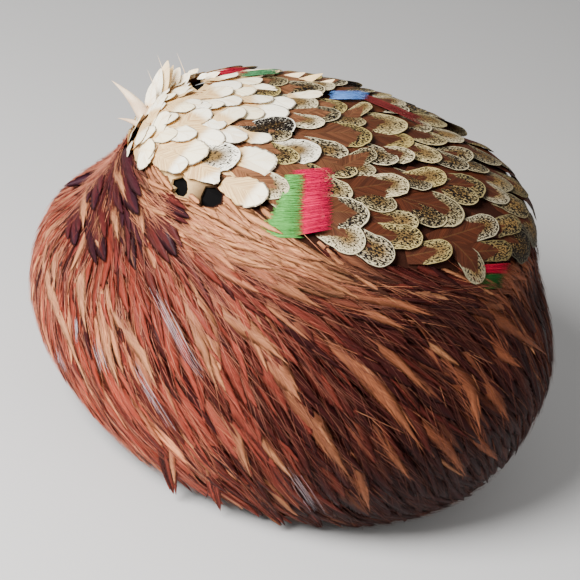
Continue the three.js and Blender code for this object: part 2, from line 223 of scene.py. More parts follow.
# Feathers that stand up along the crown's top outline: root, tip and width in the photograph's pixels
STANDING_PICKS = rows(
    "root tip width tan behind",
    ((156, 92), (168, 60), 11, 0.8, 0),
    ((150, 97), (161, 68), 10, 0.1, 0),
    ((166, 84), (180, 67), 11, 0.4, 0),
    ((146, 103), (153, 82), 9, 0.2, 0),
    ((158, 88), (173, 64), 7, 0.9, 0.003),
    ((150, 92), (163, 66), 6, 1.0, 0.002),
    ((176, 78), (198, 67), 9, 0.4, 0.006),
    ((206, 76), (246, 66), 8, 0.8, 0.018),
    ((236, 76), (280, 66), 8, 0.9, 0.018),
    ((262, 78), (306, 68), 9, 0.7, 0.018),
    ((280, 82), (324, 69), 8, 1.0, 0.018),
    ((300, 86), (336, 75), 8, 0.8, 0.018),
    ((182, 80), (208, 73), 9, 0.0, 0.002),
    ((192, 77), (220, 71), 8, 0.3, 0.004),
    ((174, 82), (190, 72), 9, 0.2, 0.002),
)

# Purple hackles that stand off the left outline: root, tip and width in the photograph's pixels
LOOSE_PICKS = rows(
    "root tip width behind",
    ((96, 171), (63, 186), 11, 0.002),
    ((101, 166), (72, 182), 9, 0.003),
)

# Tan streaks that show among the hackles: paths from root to tip and widths, in the photograph's pixels
STREAK_PICKS = rows(
    "path width",
    (((73, 187), (52, 217), (42, 246), (44, 282), (57, 309), (73, 349), (84, 373), (97, 399)), 9),
    (((87, 180), (84, 203), (85, 231)), 15),
    (((58, 245), (53, 268), (57, 290)), 7),
    (((76, 250), (79, 286), (89, 333)), 10),
    (((96, 305), (105, 341), (116, 373), (122, 389)), 8),
    (((114, 318), (141, 353), (160, 389)), 9),
    (((110, 168), (120, 182), (130, 203)), 9),
    (((92, 222), (95, 236), (101, 250)), 7),
    (((107, 204), (115, 222), (121, 243)), 8),
    (((136, 210), (140, 220), (146, 236)), 6),
    (((212, 308), (250, 331), (290, 365)), 13),
    (((262, 280), (292, 292), (323, 308)), 10),
    (((352, 296), (395, 303), (432, 315)), 8),
    (((355, 310), (380, 318), (406, 329)), 7),
    (((325, 345), (361, 369), (392, 405), (422, 449)), 15),
    (((372, 339), (404, 367), (431, 397)), 8),
    (((451, 368), (472, 391), (479, 432)), 14),
    (((481, 374), (497, 397), (508, 422)), 12),
    (((426, 428), (448, 448), (464, 474)), 9),
    (((464, 304), (507, 325), (545, 356)), 13),
    (((491, 347), (505, 356), (520, 368)), 9),
    (((382, 440), (396, 460), (410, 479)), 7),
    (((355, 460), (362, 484), (370, 510)), 9),
    (((284, 387), (315, 426), (351, 477)), 15),
    (((266, 360), (284, 378), (302, 402)), 15),
    (((475, 438), (485, 448), (496, 459)), 8),
    (((222, 412), (238, 440), (252, 476)), 8),
    (((180, 310), (204, 350), (220, 392)), 8),
)

# Broad purple-maroon feathers under the pole, and painted glints: white silky strands that stand for
# highlights
BROAD_PICKS = rows(
    "tip root width",
    ((141, 215), (114, 164), 36),
    ((107, 263), (92, 200), 27),
    ((178, 256), (148, 212), 26),
    ((96, 212), (106, 156), 28),
    ((77, 247), (75, 205), 24),
    ((192, 218), (158, 200), 16),
)
GLINT_PICKS = rows(
    "path width",
    (((96, 342), (101, 357), (108, 374)), 9),
    (((156, 292), (173, 325), (202, 374)), 9),
    (((56, 348), (60, 359), (67, 372)), 8),
    (((76, 318), (78, 330), (79, 342)), 3),
    (((136, 368), (154, 398), (174, 428)), 8),
    (((290, 470), (306, 492), (322, 514)), 14),
)

# Gaps worn through the feathers, as outlines in the photograph's pixels, each part convex
GAP_OUTLINES = [
    [(189.5, 80), (206.5, 80), (203, 86), (197.5, 90.5), (192.5, 87)],
    [(172, 179.5), (182.5, 176.5), (187, 181.5), (188, 190), (176, 188.5), (171, 184.5)],
    [(175.5, 188), (188, 188), (187, 193.5), (183.5, 197), (176.5, 195.5), (173, 191.5)],
    [(205.5, 186), (215, 186), (222.5, 193), (221, 203), (213, 207), (201, 205.5), (200.5, 197)],
]

# Hackle tips that reach past the rim onto the floor: root, tip and width in the photograph's pixels
RIM_PICKS = rows(
    "root tip width",
    ((166, 440), (175, 497), 20),
    ((186, 431), (206, 485), 25),
    ((208, 466), (219, 513), 17),
    ((216, 470), (205, 501), 6),
    ((250, 484), (285, 527), 22),
    ((294, 496), (321, 528), 20),
    ((336, 505), (357, 528), 13),
    ((150, 428), (163, 465), 14),
    ((238, 478), (256, 508), 14),
)

# Dyed bands: the edges where their barbs start and end in the photograph's pixels, and the node each replaces
BAND_PICKS = rows(
    "node colour start end",
    ("green_band_front", "green", ((287, 173), (267, 237)), ((304, 174), (300, 238))),
    ("pink_band_front", "pink", ((298, 168), (297, 235)), ((330, 168), (329, 230))),
    ("red_band_top", "red", ((217, 68), (215, 73)), ((246, 68), (246, 73))),
    ("green_band_top", "top_green", ((247, 69), (247, 74)), ((276, 69), (276, 74))),
    ("blue_band_top", "blue", ((337, 89), (336, 97)), ((366, 92), (364, 99))),
    ("crimson_band_top", "dull_red", ((366, 92), (366, 98)), ((420, 117), (418, 124))),
    ("crimson_band_right", "red", ((487, 265), (487, 273)), ((509, 263), (507, 274))),
    ("green_band_right", "deep_green", ((479, 276), (481, 290)), ((503, 274), (501, 288))),
)

# Bare quills at the left end: root and tip in the photograph's pixels, thickness in metres
QUILL_PICKS = rows(
    "root tip thick node",
    ((137, 110), (111, 80), 0.0080, "quill_long"),
    ((133, 121), (117, 118), 0.0036, "quill_short"),
    ((160, 72), (157, 54), 0.0010, None),
    ((184, 70), (176, 51), 0.0008, None),
    ((151, 86), (147, 69), 0.0009, None),
)


def smooth(low, high, value):
    """0 at low, 1 at high and a soft step between."""
    share = min(max((value - low) / (high - low), 0), 1)
    return share * share * (3 - 2 * share)


def blend(first, second, share):
    return tuple(a + (b - a) * share for a, b in zip(first, second))


def shaded(colour, shade):
    return tuple(value * shade for value in colour)


def zone(name, place):
    """How far a place lies inside a soft zone, from 0 to 1."""
    share = 1
    for axis, out, within in ZONES[name]:
        share *= smooth(out, within, getattr(place, axis))
    return share


def from_pole(place):
    return (place - POLE).length


def below_border(point):
    """How far a point lies below the line between crown and hackles."""
    theta = math.atan2(point.y, point.x)
    return BORDER_LOW + BORDER_RISE * abs(math.sin(theta)) - point.z


def pixel_ray(pixel):
    """The camera's ray through a pixel of the photograph."""
    across = (pixel[0] - FRAME_PIXELS / 2) * PIXEL
    up = (FRAME_PIXELS / 2 - pixel[1]) * PIXEL
    aim = -BACK * VIEW_DISTANCE + VIEW_RIGHT * across + VIEW_UP * up
    return aim.normalized()


def pixel_of(point):
    """The photograph's pixel where a point shows."""
    seen = point - CAMERA_PLACE
    scale = VIEW_DISTANCE / -seen.dot(BACK) / PIXEL
    return FRAME_PIXELS / 2 + seen.dot(VIEW_RIGHT) * scale, FRAME_PIXELS / 2 - seen.dot(VIEW_UP) * scale


def in_plane(point, pixel):
    """The place that shows at a pixel and lies as far in front of the camera as a point."""
    ray = pixel_ray(pixel)
    return CAMERA_PLACE + ray * ((point - CAMERA_PLACE).dot(BACK) / ray.dot(BACK))


class HatSurface:
    """The surface where feather tips lie: the foundation's skin, raised along its normals."""

    def __init__(self, node, rise):
        skin = bmesh.new()
        skin.from_mesh(node.data)
        bmesh.ops.remove_doubles(skin, verts=skin.verts, dist=1e-5)
        skin.normal_update()
        self.normals = [vertex.normal.copy() for vertex in skin.verts]
        self.points = [vertex.co + vertex.normal * rise for vertex in skin.verts]
        self.faces = [[vertex.index for vertex in face.verts] for face in skin.faces]
        skin.free()
        self.tree = BVHTree.FromPolygons(self.points, self.faces)

    def _met(self, origin, direction):
        place, _, index, _ = self.tree.ray_cast(origin, direction)
        if place is None:
            return None
        corners = self.faces[index]
        weights = poly_3d_calc([self.points[corner] for corner in corners], place)
        normal = Vector((0, 0, 0))
        for corner, weight in zip(corners, weights):
            normal += self.normals[corner] * weight
        normal.normalize()
        return (place, normal) if normal.dot(direction) < 0 else None

    def towards(self, point):
        """The surface in the direction of a point, seen from the fan's centre, or None inside the mouth."""
        direction = (point - FAN_CENTRE).normalized()
        return self._met(FAN_CENTRE + direction * OUTSIDE, -direction)

    def at_pixel(self, pixel):
        """The surface at a pixel of the photograph, or the nearest of it on the way to the hat's middle."""
        middle = (FRAME_PIXELS / 2, FRAME_PIXELS / 2)
        for step in range(SEARCH_STEPS):
            tried = blend(pixel, middle, step / SEARCH_PARTS)
            met = self._met(CAMERA_PLACE, pixel_ray(tried))
            if met:
                return met
        raise RuntimeError(f"no surface is found near pixel {pixel}")


surface = HatSurface(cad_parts["foundation"], OUTLINE_RISE)


def flow(place, normal):
    """The way feathers point: away from the pole, drooping low down on the right half."""
    away = place - POLE
    away -= normal * away.dot(normal)
    away.normalize()
    droop = zone("drooping", place)
    down = Vector((0, 0, -1))
    down -= normal * down.dot(normal)
    if down.length > LEAST_SLOPE:
        away = (away + down.normalized() * DROOP * droop).normalized()
    return away


def grow(start, length, steps, turn=0.0):
    """A spine that follows the feathers' flow to a tip, as (place, normal) pairs from root to tip."""
    spine = [surface.towards(start)]
    step = length / steps
    for _ in range(steps):
        place, normal = spine[-1]
        if from_pole(place) < step:
            break
        heading = flow(place, normal)
        heading = heading * math.cos(turn) + normal.cross(heading) * math.sin(turn)
        met = surface.towards(place - heading * step)
        if met is None or met[0].z < 0:
            break
        spine.append(met)
    return spine[::-1]


def bridge(first, second, steps):
    """A spine over the surface between two points."""
    return [surface.towards(first.lerp(second, k / steps)) for k in range(steps + 1)]


def picked_spine(path, hidden):
    """A spine along a path of pixels, carried on under its neighbours by a share of its length."""
    places = [surface.at_pixel(pixel)[0] for pixel in path]
    back = places[0] + (places[0] - places[1]).normalized() * (places[0] - places[-1]).length * hidden
    spine = bridge(back, places[0], BRIDGE_STEPS)
    for first, second in zip(places, places[1:]):
        spine += bridge(first, second, BRIDGE_STEPS)[1:]
    return [met for met in spine if met]


def lengths_along(spine):
    run = [0.0]
    for (first, _), (second, _) in zip(spine, spine[1:]):
        run.append(run[-1] + (second - first).length)
    return run


def at_share(spine, run, share):
    """The place and normal at a share of a spine's length, which may be a little past its tip."""
    target = share * run[-1]
    k = 0
    while k < len(run) - 2 and run[k + 1] < target:
        k += 1
    part = (target - run[k]) / max(run[k + 1] - run[k], TINY)
    place = spine[k][0].lerp(spine[k + 1][0], part)
    normal = spine[k][1].lerp(spine[k + 1][1], min(part, 1)).normalized()
    return place, normal


# Half width along a feather, as a share of its widest. Each function takes the share of the feather's length,
# the metres left to its tip and its widest half width
LANCE_ROOT = 0.6
LANCE_WIDEST = 0.35
WEDGE_ROOT = 0.35
WEDGE_WIDEST = 0.45
WEDGE_END = 1.05
ROUND_ROOT = 0.65
ROUND_WIDEST = 0.5
ROUND_CAP = 1.15
HAIR_ROOT = 0.4
HAIR_GROWTH = 5


def lance(share, to_tip, width):
    """Widest a third of the way along, and pointed."""
    if share < LANCE_WIDEST:
        return LANCE_ROOT + (1 - LANCE_ROOT) * smooth(0, LANCE_WIDEST, share)
    return max(1 - ((share - LANCE_WIDEST) / (1 - LANCE_WIDEST)) ** 1.9, 0) ** 0.8


def wedge(share, to_tip, width):
    """Widest near its middle, and drawn out to a long point."""
    narrowing = smooth(WEDGE_WIDEST, WEDGE_END, share) ** 0.9
    return (WEDGE_ROOT + (1 - WEDGE_ROOT) * smooth(0, WEDGE_WIDEST, share)) * max(1 - narrowing, 0)


def rounded(share, to_tip, width):
    """Nearly parallel sides and a round end."""
    cap = width * ROUND_CAP
    body = ROUND_ROOT + (1 - ROUND_ROOT) * smooth(0, ROUND_WIDEST, share)
    if to_tip >= cap:
        return body
    return body * math.sqrt(max(1 - ((cap - to_tip) / cap) ** 2, 0))


def hair(share, to_tip, width):
    """A strand that thins out to its tip."""
    return min(1, HAIR_ROOT + HAIR_GROWTH * share) * max(1 - share, 0) ** 0.5


# The forms of feathers: the function, and the shares of the length that get a point
LANCE = (lance, (0, 0.2, 0.35, 0.5, 0.63, 0.74, 0.83, 0.9, 0.96, 1))
WEDGE = (wedge, (0, 0.12, 0.25, 0.38, 0.5, 0.62, 0.74, 0.86, 0.95, 1))
ROUND = (rounded, (0, 0.2, 0.4, 0.55, 0.66, 0.74, 0.81, 0.87, 0.92, 0.96, 0.985, 1))
BLADE = (lance, (0, 0.25, 0.45, 0.62, 0.78, 0.9, 1))
HAIR = (hair, (0, 0.3, 0.6, 0.85, 1))


def outline_distance(pixel, outline):
    """Pixels from a point to a convex outline, less than 0 inside it."""
    nearest = math.inf
    sides = []
    for (ax, ay), (bx, by) in zip(outline, outline[1:] + outline[:1]):
        ex, ey = bx - ax, by - ay
        px, py = pixel[0] - ax, pixel[1] - ay
        share = min(max((px * ex + py * ey) / (ex * ex + ey * ey), 0), 1)
        nearest = min(nearest, math.hypot(px - ex * share, py - ey * share))
        sides.append(ex * py - ey * px)
    inside = all(side >= 0 for side in sides) or all(side <= 0 for side in sides)
    return -nearest if inside else nearest


def gap_room(place, normal):
    """Metres from a point to the nearest worn gap's outline, less than 0 inside it."""
    if normal.dot(BACK) < 0:
        return FAR
    pixel = pixel_of(place)
    room = min(outline_distance(pixel, outline) for outline in GAP_OUTLINES)
    return room * PIXEL - GAP_MARGIN if room < GAP_REACH else FAR


class Guides:
    """Feather spines gathered into one mesh of edges, with columns of values for each point."""

    FLOATS = ("half_width", "wide", "from_tip", "tone", "streak")
    LEAST_HALF_WIDTH = 0.00003
    GAP_STEP = 0.0012

    def __init__(self, name, cover=None):
        self.name = name
        self.cover = cover
        self.points = []
        self.edges = []
        self.vectors = []
        self.colours = {"hue": [], "core": []}
        self.columns = {column: [] for column in self.FLOATS}

    def add(self, spine, half_width, form, depths, hue, tone, core=None, streak=0.0, roll=0.0, curl=0.0):
        """One feather. depths are its root's and its tip's under the outline, roll turns it about its spine
        and curl lifts its outer half."""
        if len(spine) < 3:
            return
        shape, shares = form
        run = lengths_along(spine)
        length = run[-1]
        if min(gap_room(*item) for item in spine) < half_width + NEAR_GAP:
            parts = math.ceil(length / self.GAP_STEP)
            shares = [k / parts for k in range(parts + 1)]
        row = [at_share(spine, run, share) for share in shares]
        sunk = []
        for share, (place, normal) in zip(shares, row):
            depth = depths[0] + (depths[1] - depths[0]) * share - curl * max(share - CURL_START, 0) ** 2
            depth += self.cover(place) if self.cover else 0
            point = place - normal * depth
            point.z = max(point.z, FLOOR_CLEARANCE + half_width * EDGE_DIP)
            sunk.append(point)
        rooms = [gap_room(point, normal) for point, (_, normal) in zip(sunk, row)]
        kept = self.longest_run(rooms)
        for k in kept:
            normal = row[k][1]
            share = shares[k]
            to_tip = (1 - share) * length
            heading = row[min(k + 1, len(row) - 1)][0] - row[max(k - 1, 0)][0]
            heading.normalize()
            wide = max(min(half_width * shape(share, to_tip, half_width), rooms[k]), self.LEAST_HALF_WIDTH)
            self.points.append(sunk[k])
            self.vectors.extend((normal + normal.cross(heading) * roll).normalized())
            self.colours["hue"].extend((*hue, 1))
            self.colours["core"].extend((*(core or hue), 1))
            for column, value in zip(self.FLOATS, (wide, half_width, to_tip, tone, streak)):
                self.columns[column].append(value)
        first = len(self.points) - len(kept)
        self.edges.extend((k, k + 1) for k in range(first, len(self.points) - 1))

    def longest_run(self, rooms):
        """The longest unbroken part of a feather that lies outside the worn gaps."""
        best = range(0)
        begin = 0
        for k, room in enumerate(rooms + [0]):
            if room <= self.LEAST_HALF_WIDTH * 2:
                if k - begin > len(best):
                    best = range(begin, k)
                begin = k + 1
        return best if len(best) > 2 else range(0)

    def object(self):
        mesh = bpy.data.meshes.new(self.name)
        mesh.from_pydata(self.points, self.edges, [])
        mesh.attributes.new("lie", "FLOAT_VECTOR", "POINT").data.foreach_set("vector", self.vectors)
        for label, values in self.colours.items():
            mesh.attributes.new(label, "FLOAT_COLOR", "POINT").data.foreach_set("color", values)
        for column in self.FLOATS:
            mesh.attributes.new(column, "FLOAT", "POINT").data.foreach_set("value", self.columns[column])
        made = bpy.data.objects.new(self.name, mesh)
        bpy.context.scene.collection.objects.link(made)
        return made


def true_half_width(spine, pixels):
    """Half the real width of a feather that shows that many pixels wide."""
    side = spine[-2][1].cross(spine[-1][0] - spine[-3][0]).normalized()
    shown = math.hypot(side.dot(VIEW_RIGHT), side.dot(VIEW_UP))
    return pixels / 2 * PIXEL / max(shown, LEAST_SHOWN)


def rim_spine(pick, spread, reach):
    """A spine from the hat's side towards a place by the floor, started some pixels aside of its pick."""
    root_pixel = (pick["root"][0] + spread, pick["root"][1] - spread * RIM_LEAN)
    root = surface.at_pixel(root_pixel)[0]
    ray = pixel_ray((pick["tip"][0] + spread * RIM_TIP_SPREAD, pick["tip"][1]))
    tip = CAMERA_PLACE + ray * ((RIM_TIP_HEIGHT - CAMERA_PLACE.z) / ray.z)
    return [(root.lerp(tip, k / SPINE_STEPS * reach), BACK) for k in range(SPINE_STEPS + 1)]


def standing_spine(pick):
    """A spine that stands off the surface, from a pixel on the hat to one past its outline."""
    root, normal = surface.at_pixel(pick["root"])
    tip = in_plane(root, pick["tip"])
    start = root - normal * STANDING_ROOT_DEPTH - (tip - root) * STANDING_OVERLAP
    shift = BACK * pick["behind"]
    return [(start.lerp(tip, k / SPINE_STEPS) - shift, BACK) for k in range(SPINE_STEPS + 1)]


def beside(spine, offset, reach):
    """A spine that runs beside another one, over that share of its length."""
    run = lengths_along(spine)
    made = []
    for k in range(SPINE_STEPS + 1):
        place, normal = at_share(spine, run, reach * k / SPINE_STEPS)
        made.append((place + normal.cross(flow(place, normal)) * offset, normal))
    return made


class Scatter:
    """Seeded places over the surface, with a least distance between them."""

    CELL = 0.0135

    def __init__(self, seed):
        self.chance = random.Random(seed)
        self.cells = {}

    def _key(self, place):
        return tuple(math.floor(value / self.CELL) for value in place)

    def crowded(self, place, spacing):
        x, y, z = self._key(place)
        near = (-1, 0, 1)
        return any(
            (other - place).length < spacing
            for dx in near for dy in near for dz in near
            for other in self.cells.get((x + dx, y + dy, z + dz), ())
        )

    def take(self, place):
        self.cells.setdefault(self._key(place), []).append(place)

    def places(self, tries, spacing, accept):
        """Places found in that many tries where accept says so."""
        for _ in range(tries):
            height = self.chance.uniform(LOWEST_AIM, 1)
            angle = self.chance.uniform(0, 2 * math.pi)
            flat = math.sqrt(1 - height * height)
            aim = Vector((flat * math.cos(angle), flat * math.sin(angle), height))
            met = surface.towards(FAN_CENTRE + aim)
            if met is None or met[0].z < 0 or not accept(met[0]):
                continue
            if self.crowded(met[0], spacing(met[0])):
                continue
            self.take(met[0])
            yield met[0]


class Builder:
    """Adds nodes to a tree one at a time. Values that are sockets are linked, and others are set."""

    def __init__(self, tree):
        self.tree = tree

    def node(self, kind, values=(), **settings):
        made = self.tree.nodes.new(kind)
        for name, value in settings.items():
            setattr(made, name, value)
        pairs = values.items() if isinstance(values, dict) else enumerate(values)
        for key, value in pairs:
            self.plug(made.inputs[key], value)
        return made

    def plug(self, socket, value):
        if isinstance(value, bpy.types.NodeSocket):
            self.tree.links.new(value, socket)
        else:
            socket.default_value = value

    def math(self, operation, *values):
        return self.node("ShaderNodeMath", values, operation=operation).outputs[0]

    def plus(self, first, second):
        return self.math("ADD", first, second)

    def minus(self, first, second):
        return self.math("SUBTRACT", first, second)

    def times(self, first, second):
        return self.math("MULTIPLY", first, second)

    def place(self):
        return self.node("ShaderNodeTexCoord").outputs["Object"]

    def step(self, value, low, high):
        values = {"Value": value, "From Min": low, "From Max": high}
        return self.node("ShaderNodeMapRange", values, interpolation_type="SMOOTHSTEP").outputs["Result"]

    def mix(self, share, first, second, blend_type="MIX"):
        made = self.node("ShaderNodeMix", data_type="RGBA", blend_type=blend_type)
        sockets = [socket for socket in made.inputs if socket.type == "RGBA"]
        factor = next(socket for socket in made.inputs if socket.type == "VALUE")
        self.plug(factor, share)
        self.plug(sockets[0], first)
        self.plug(sockets[1], second)
        return next(socket for socket in made.outputs if socket.type == "RGBA")

    def attribute(self, name, output="Fac"):
        return self.node("ShaderNodeAttribute", attribute_name=name).outputs[output]

    def vector(self, x, y, z):
        return self.node("ShaderNodeCombineXYZ", [x, y, z]).outputs[0]

    def noise(self, vector, scale, detail=2.0, roughness=0.5):
        values = {"Vector": vector, "Scale": scale, "Detail": detail, "Roughness": roughness}
        return self.node("ShaderNodeTexNoise", values).outputs["Fac"]


def place_group(build, name, inputs, outputs, fill, values):
    """Puts a shader node group in a material, with its own values. A fill function makes the group, once."""
    tree = bpy.data.node_groups.get(name)
    if tree is None:
        tree = bpy.data.node_groups.new(name, "ShaderNodeTree")
        for label, default in inputs.items():
            socket = tree.interface.new_socket(label, in_out="INPUT", socket_type="NodeSocketFloat")
            socket.default_value = default
        for label in outputs:
            tree.interface.new_socket(label, in_out="OUTPUT", socket_type="NodeSocketFloat")
        inner = Builder(tree)
        made = fill(inner, inner.node("NodeGroupInput").outputs)
        group_output = inner.node("NodeGroupOutput")
        for label in outputs:
            inner.plug(group_output.inputs[label], made[label])
    placed = build.node("ShaderNodeGroup", node_tree=tree)
    for label, value in values.items():
        build.plug(placed.inputs[label], value)
    return placed.outputs


def picked(read, *labels):
    return {label: read[label] for label in labels}


# Barb lines: seeds that keep feathers and their two halves apart, how the noise is drawn out, and the noise
# values and distances between which lines, streaks and the shaft turn from 0 to 1
BARB_SEED = 57.0
HALF_SEED = 3.1
BARB_DRAWN_OUT = 0.7
STREAK_DRAWN_OUT = 0.22
LINE_STEP = (0.33, 0.67)
STREAK_STEP = (0.36, 0.66)
SHAFT_STEP = (0.0006, 0.00015)


def fill_barb_lines(build, given):
    """Barbs that leave the shaft at a slant, as fine lines and as broad streaks, and the shaft itself."""
    side = build.math("ABSOLUTE", given["Across"])
    side_metres = build.times(side, given["Half width"])
    slanted = build.plus(given["From tip"], build.times(side_metres, given["Slant"]))
    seed = build.times(given["Tone"], BARB_SEED)
    run = build.times(slanted, given["Lines a metre"])
    fine = build.noise(build.vector(run, build.times(side, BARB_DRAWN_OUT), seed), 1.0, 3.0, 0.6)
    hand = build.times(build.math("SIGN", given["Across"]), HALF_SEED)
    broad = build.noise(build.vector(build.times(run, STREAK_DRAWN_OUT), hand, seed), 1.0)
    return {
        "Lines": build.step(fine, *LINE_STEP),
        "Streaks": build.step(broad, *STREAK_STEP),
        "Shaft": build.step(side_metres, *SHAFT_STEP),
    }


def barb_lines(build, read, slant, lines_a_metre):
    inputs = {"Across": 0, "From tip": 0, "Half width": 0.007, "Tone": 0, "Slant": 1.5, "Lines a metre": 1300}
    values = picked(read, "Across", "From tip", "Half width", "Tone")
    values.update({"Slant": slant, "Lines a metre": lines_a_metre})
    return place_group(build, "Barb lines", inputs, ("Lines", "Streaks", "Shaft"), fill_barb_lines, values)


def fill_vane_edge(build, given):
    """0 in the middle of a feather's round end, and 1 at its outline."""
    cap = build.times(given["Wide"], ROUND_CAP)
    into = build.minus(1.0, build.math("DIVIDE", given["From tip"], cap))
    lengthwise = build.math("MAXIMUM", into, 0.0)
    side = build.math("DIVIDE", build.times(given["Across"], given["Half width"]), given["Wide"])
    squares = build.plus(build.times(lengthwise, lengthwise), build.times(side, side))
    return {"Edge": build.math("SQRT", squares)}


def vane_edge(build, read):
    inputs = {"Across": 0, "From tip": 0, "Half width": 0.007, "Wide": 0.007}
    return place_group(build, "Vane edge", inputs, ("Edge",), fill_vane_edge, picked(read, *inputs))["Edge"]


MOTTLE_STEP = (0.35, 0.65)


def fill_mottle(build, given):
    """Slow changes over the whole hat, read from Object coordinates."""
    return {"Mottle": build.step(build.noise(build.place(), given["Patches a metre"], 3.0), *MOTTLE_STEP)}


def mottle(build, patches_a_metre):
    values = {"Patches a metre": patches_a_metre}
    return place_group(build, "Mottle", {"Patches a metre": 40.0}, ("Mottle",), fill_mottle, values)["Mottle"]


def new_material(name):
    """A material, its builder and its Principled shader."""
    made = bpy.data.materials.new(name)
    made.use_nodes = True
    return made, Builder(made.node_tree), made.node_tree.nodes["Principled BSDF"]


def vane_readings(build):
    """What each feather carries on its own vane."""
    labels = ("Across", "From tip", "Half width", "Wide", "Tone", "Streak")
    read = {label: build.attribute(label.lower().replace(" ", "_")) for label in labels}
    read["Hue"] = build.attribute("hue", "Color")
    read["Core"] = build.attribute("core", "Color")
    return read


# Surfaces: how glossy plumage is, how much rougher barbs make it and how high they stand, in metres
SPECULAR = 0.06
COAT_ROUGHNESS = 0.32
BARB_ROUGHNESS = 0.16
BARB_RELIEF = 0.0004


def finish_surface(build, shader, height, roughness, gloss, bump):
    """Roughness that follows the barbs, a soft shine, a silky second one and the barbs' own relief."""
    shader.inputs["Specular IOR Level"].default_value = SPECULAR
    build.plug(shader.inputs["Roughness"], build.plus(build.times(height, BARB_ROUGHNESS), roughness))
    shader.inputs["Coat Weight"].default_value = gloss
    shader.inputs["Coat Roughness"].default_value = COAT_ROUGHNESS
    values = {"Strength": bump, "Distance": BARB_RELIEF, "Height": height}
    build.plug(shader.inputs["Normal"], build.node("ShaderNodeBump", values).outputs[0])


SHAFT_STREAK_TIP = 0.04
SHAFT_STREAK_SOFT = 0.10


def fill_shaft_streak(build, given):
    """A streak down the middle of a vane that narrows to its tip."""
    reach = build.plus(build.times(given["From tip"], given["Spread"]), SHAFT_STREAK_TIP)
    inside = build.minus(reach, build.math("ABSOLUTE", given["Across"]))
    streak = build.step(inside, -SHAFT_STREAK_SOFT, SHAFT_STREAK_SOFT)
    return {"Streak": build.times(streak, given["Strength"])}


# A vane's loose barbs: how far from the tip they start, how deep they tear it and where it ends
LOOSE_BARBS = 0.007
LOOSE_TEAR = 0.35
LOOSE_STEP = (1.12, 0.72)


def fill_barb_fringe(build, given):
    """Less than 1 where a vane's edge and tip break up into loose barbs."""
    side = build.math("ABSOLUTE", given["Across"])
    tip = build.minus(1.0, build.math("DIVIDE", given["From tip"], LOOSE_BARBS))
    outer = build.math("MAXIMUM", side, tip)
    torn = build.plus(outer, build.times(build.minus(given["Lines"], 0.5), LOOSE_TEAR))
    return {"Cover": build.step(torn, *LOOSE_STEP)}


# Hued plumage: its dark and light tints and gain, and the shares of its streaks and mottle
DARK_TINT = (1, 0.82, 0.78)
LIGHT_TINT = (1, 0.97, 0.93)
LIGHT_GAIN = 0.7
BROAD_STREAKS = 0.45
HUED_PATCHES = 70.0
HUED_MOTTLE = 0.25


def hued_material(name, contrast, roughness, gloss, slant, lines_a_metre, fringed=False):
    """Plumage in each feather's own hue, with a streak of its core colour and slanted barb lines in it."""
    made, build, shader = new_material(name)
    read = vane_readings(build)
    barbs = barb_lines(build, read, slant, lines_a_metre)
    inputs = {"Across": 0, "From tip": 0, "Strength": 0, "Spread": 18.0}
    values = {**picked(read, "Across", "From tip"), "Strength": read["Streak"]}
    streak = place_group(build, "Shaft streak", inputs, ("Streak",), fill_shaft_streak, values)["Streak"]
    base = build.mix(streak, read["Hue"], read["Core"])
    dark = build.mix(1.0, base, (*shaded(DARK_TINT, 1 - contrast), 1), "MULTIPLY")
    light = build.mix(1.0, base, (*shaded(LIGHT_TINT, 1 + contrast * LIGHT_GAIN), 1), "MULTIPLY")
    colour = build.mix(barbs["Lines"], dark, light)
    colour = build.mix(build.times(barbs["Streaks"], BROAD_STREAKS), colour, dark)
    colour = build.mix(build.times(mottle(build, HUED_PATCHES), HUED_MOTTLE), colour, light)
    build.plug(shader.inputs["Base Color"], colour)
    if fringed:
        inputs = {"Across": 0, "From tip": 0, "Lines": 0.5}
        values = {**picked(read, "Across", "From tip"), "Lines": barbs["Lines"]}
        cover = place_group(build, "Barb fringe", inputs, ("Cover",), fill_barb_fringe, values)["Cover"]
        build.plug(shader.inputs["Alpha"], cover)
    finish_surface(build, shader, barbs["Lines"], roughness, gloss, bump=0.5)
    return made


# Cream plumage, in metres from the tip: where the white starts and how much that varies, how fast it fades,
# and where the dark outline, a painted shadow at the tip's edge, ends. The other steps are shares of the
# vane's edge and values of its streaks
WHITE_START = 0.009
WHITE_VARIES = 0.009
WHITE_FADE = 0.005
WHITE_STREAKS = (-0.6, 0.4)
CREAM_EDGE_SHADOW = (0.88, 0.95)
CREAM_EDGE_SHADOW_END = (0.014, 0.008)
CREAM_EDGE_SHADOW_STREAKS = (-0.2, 0.4)
EDGE_SHADOW_SHARE = 0.9
CREAM_SHAFT = 0.25


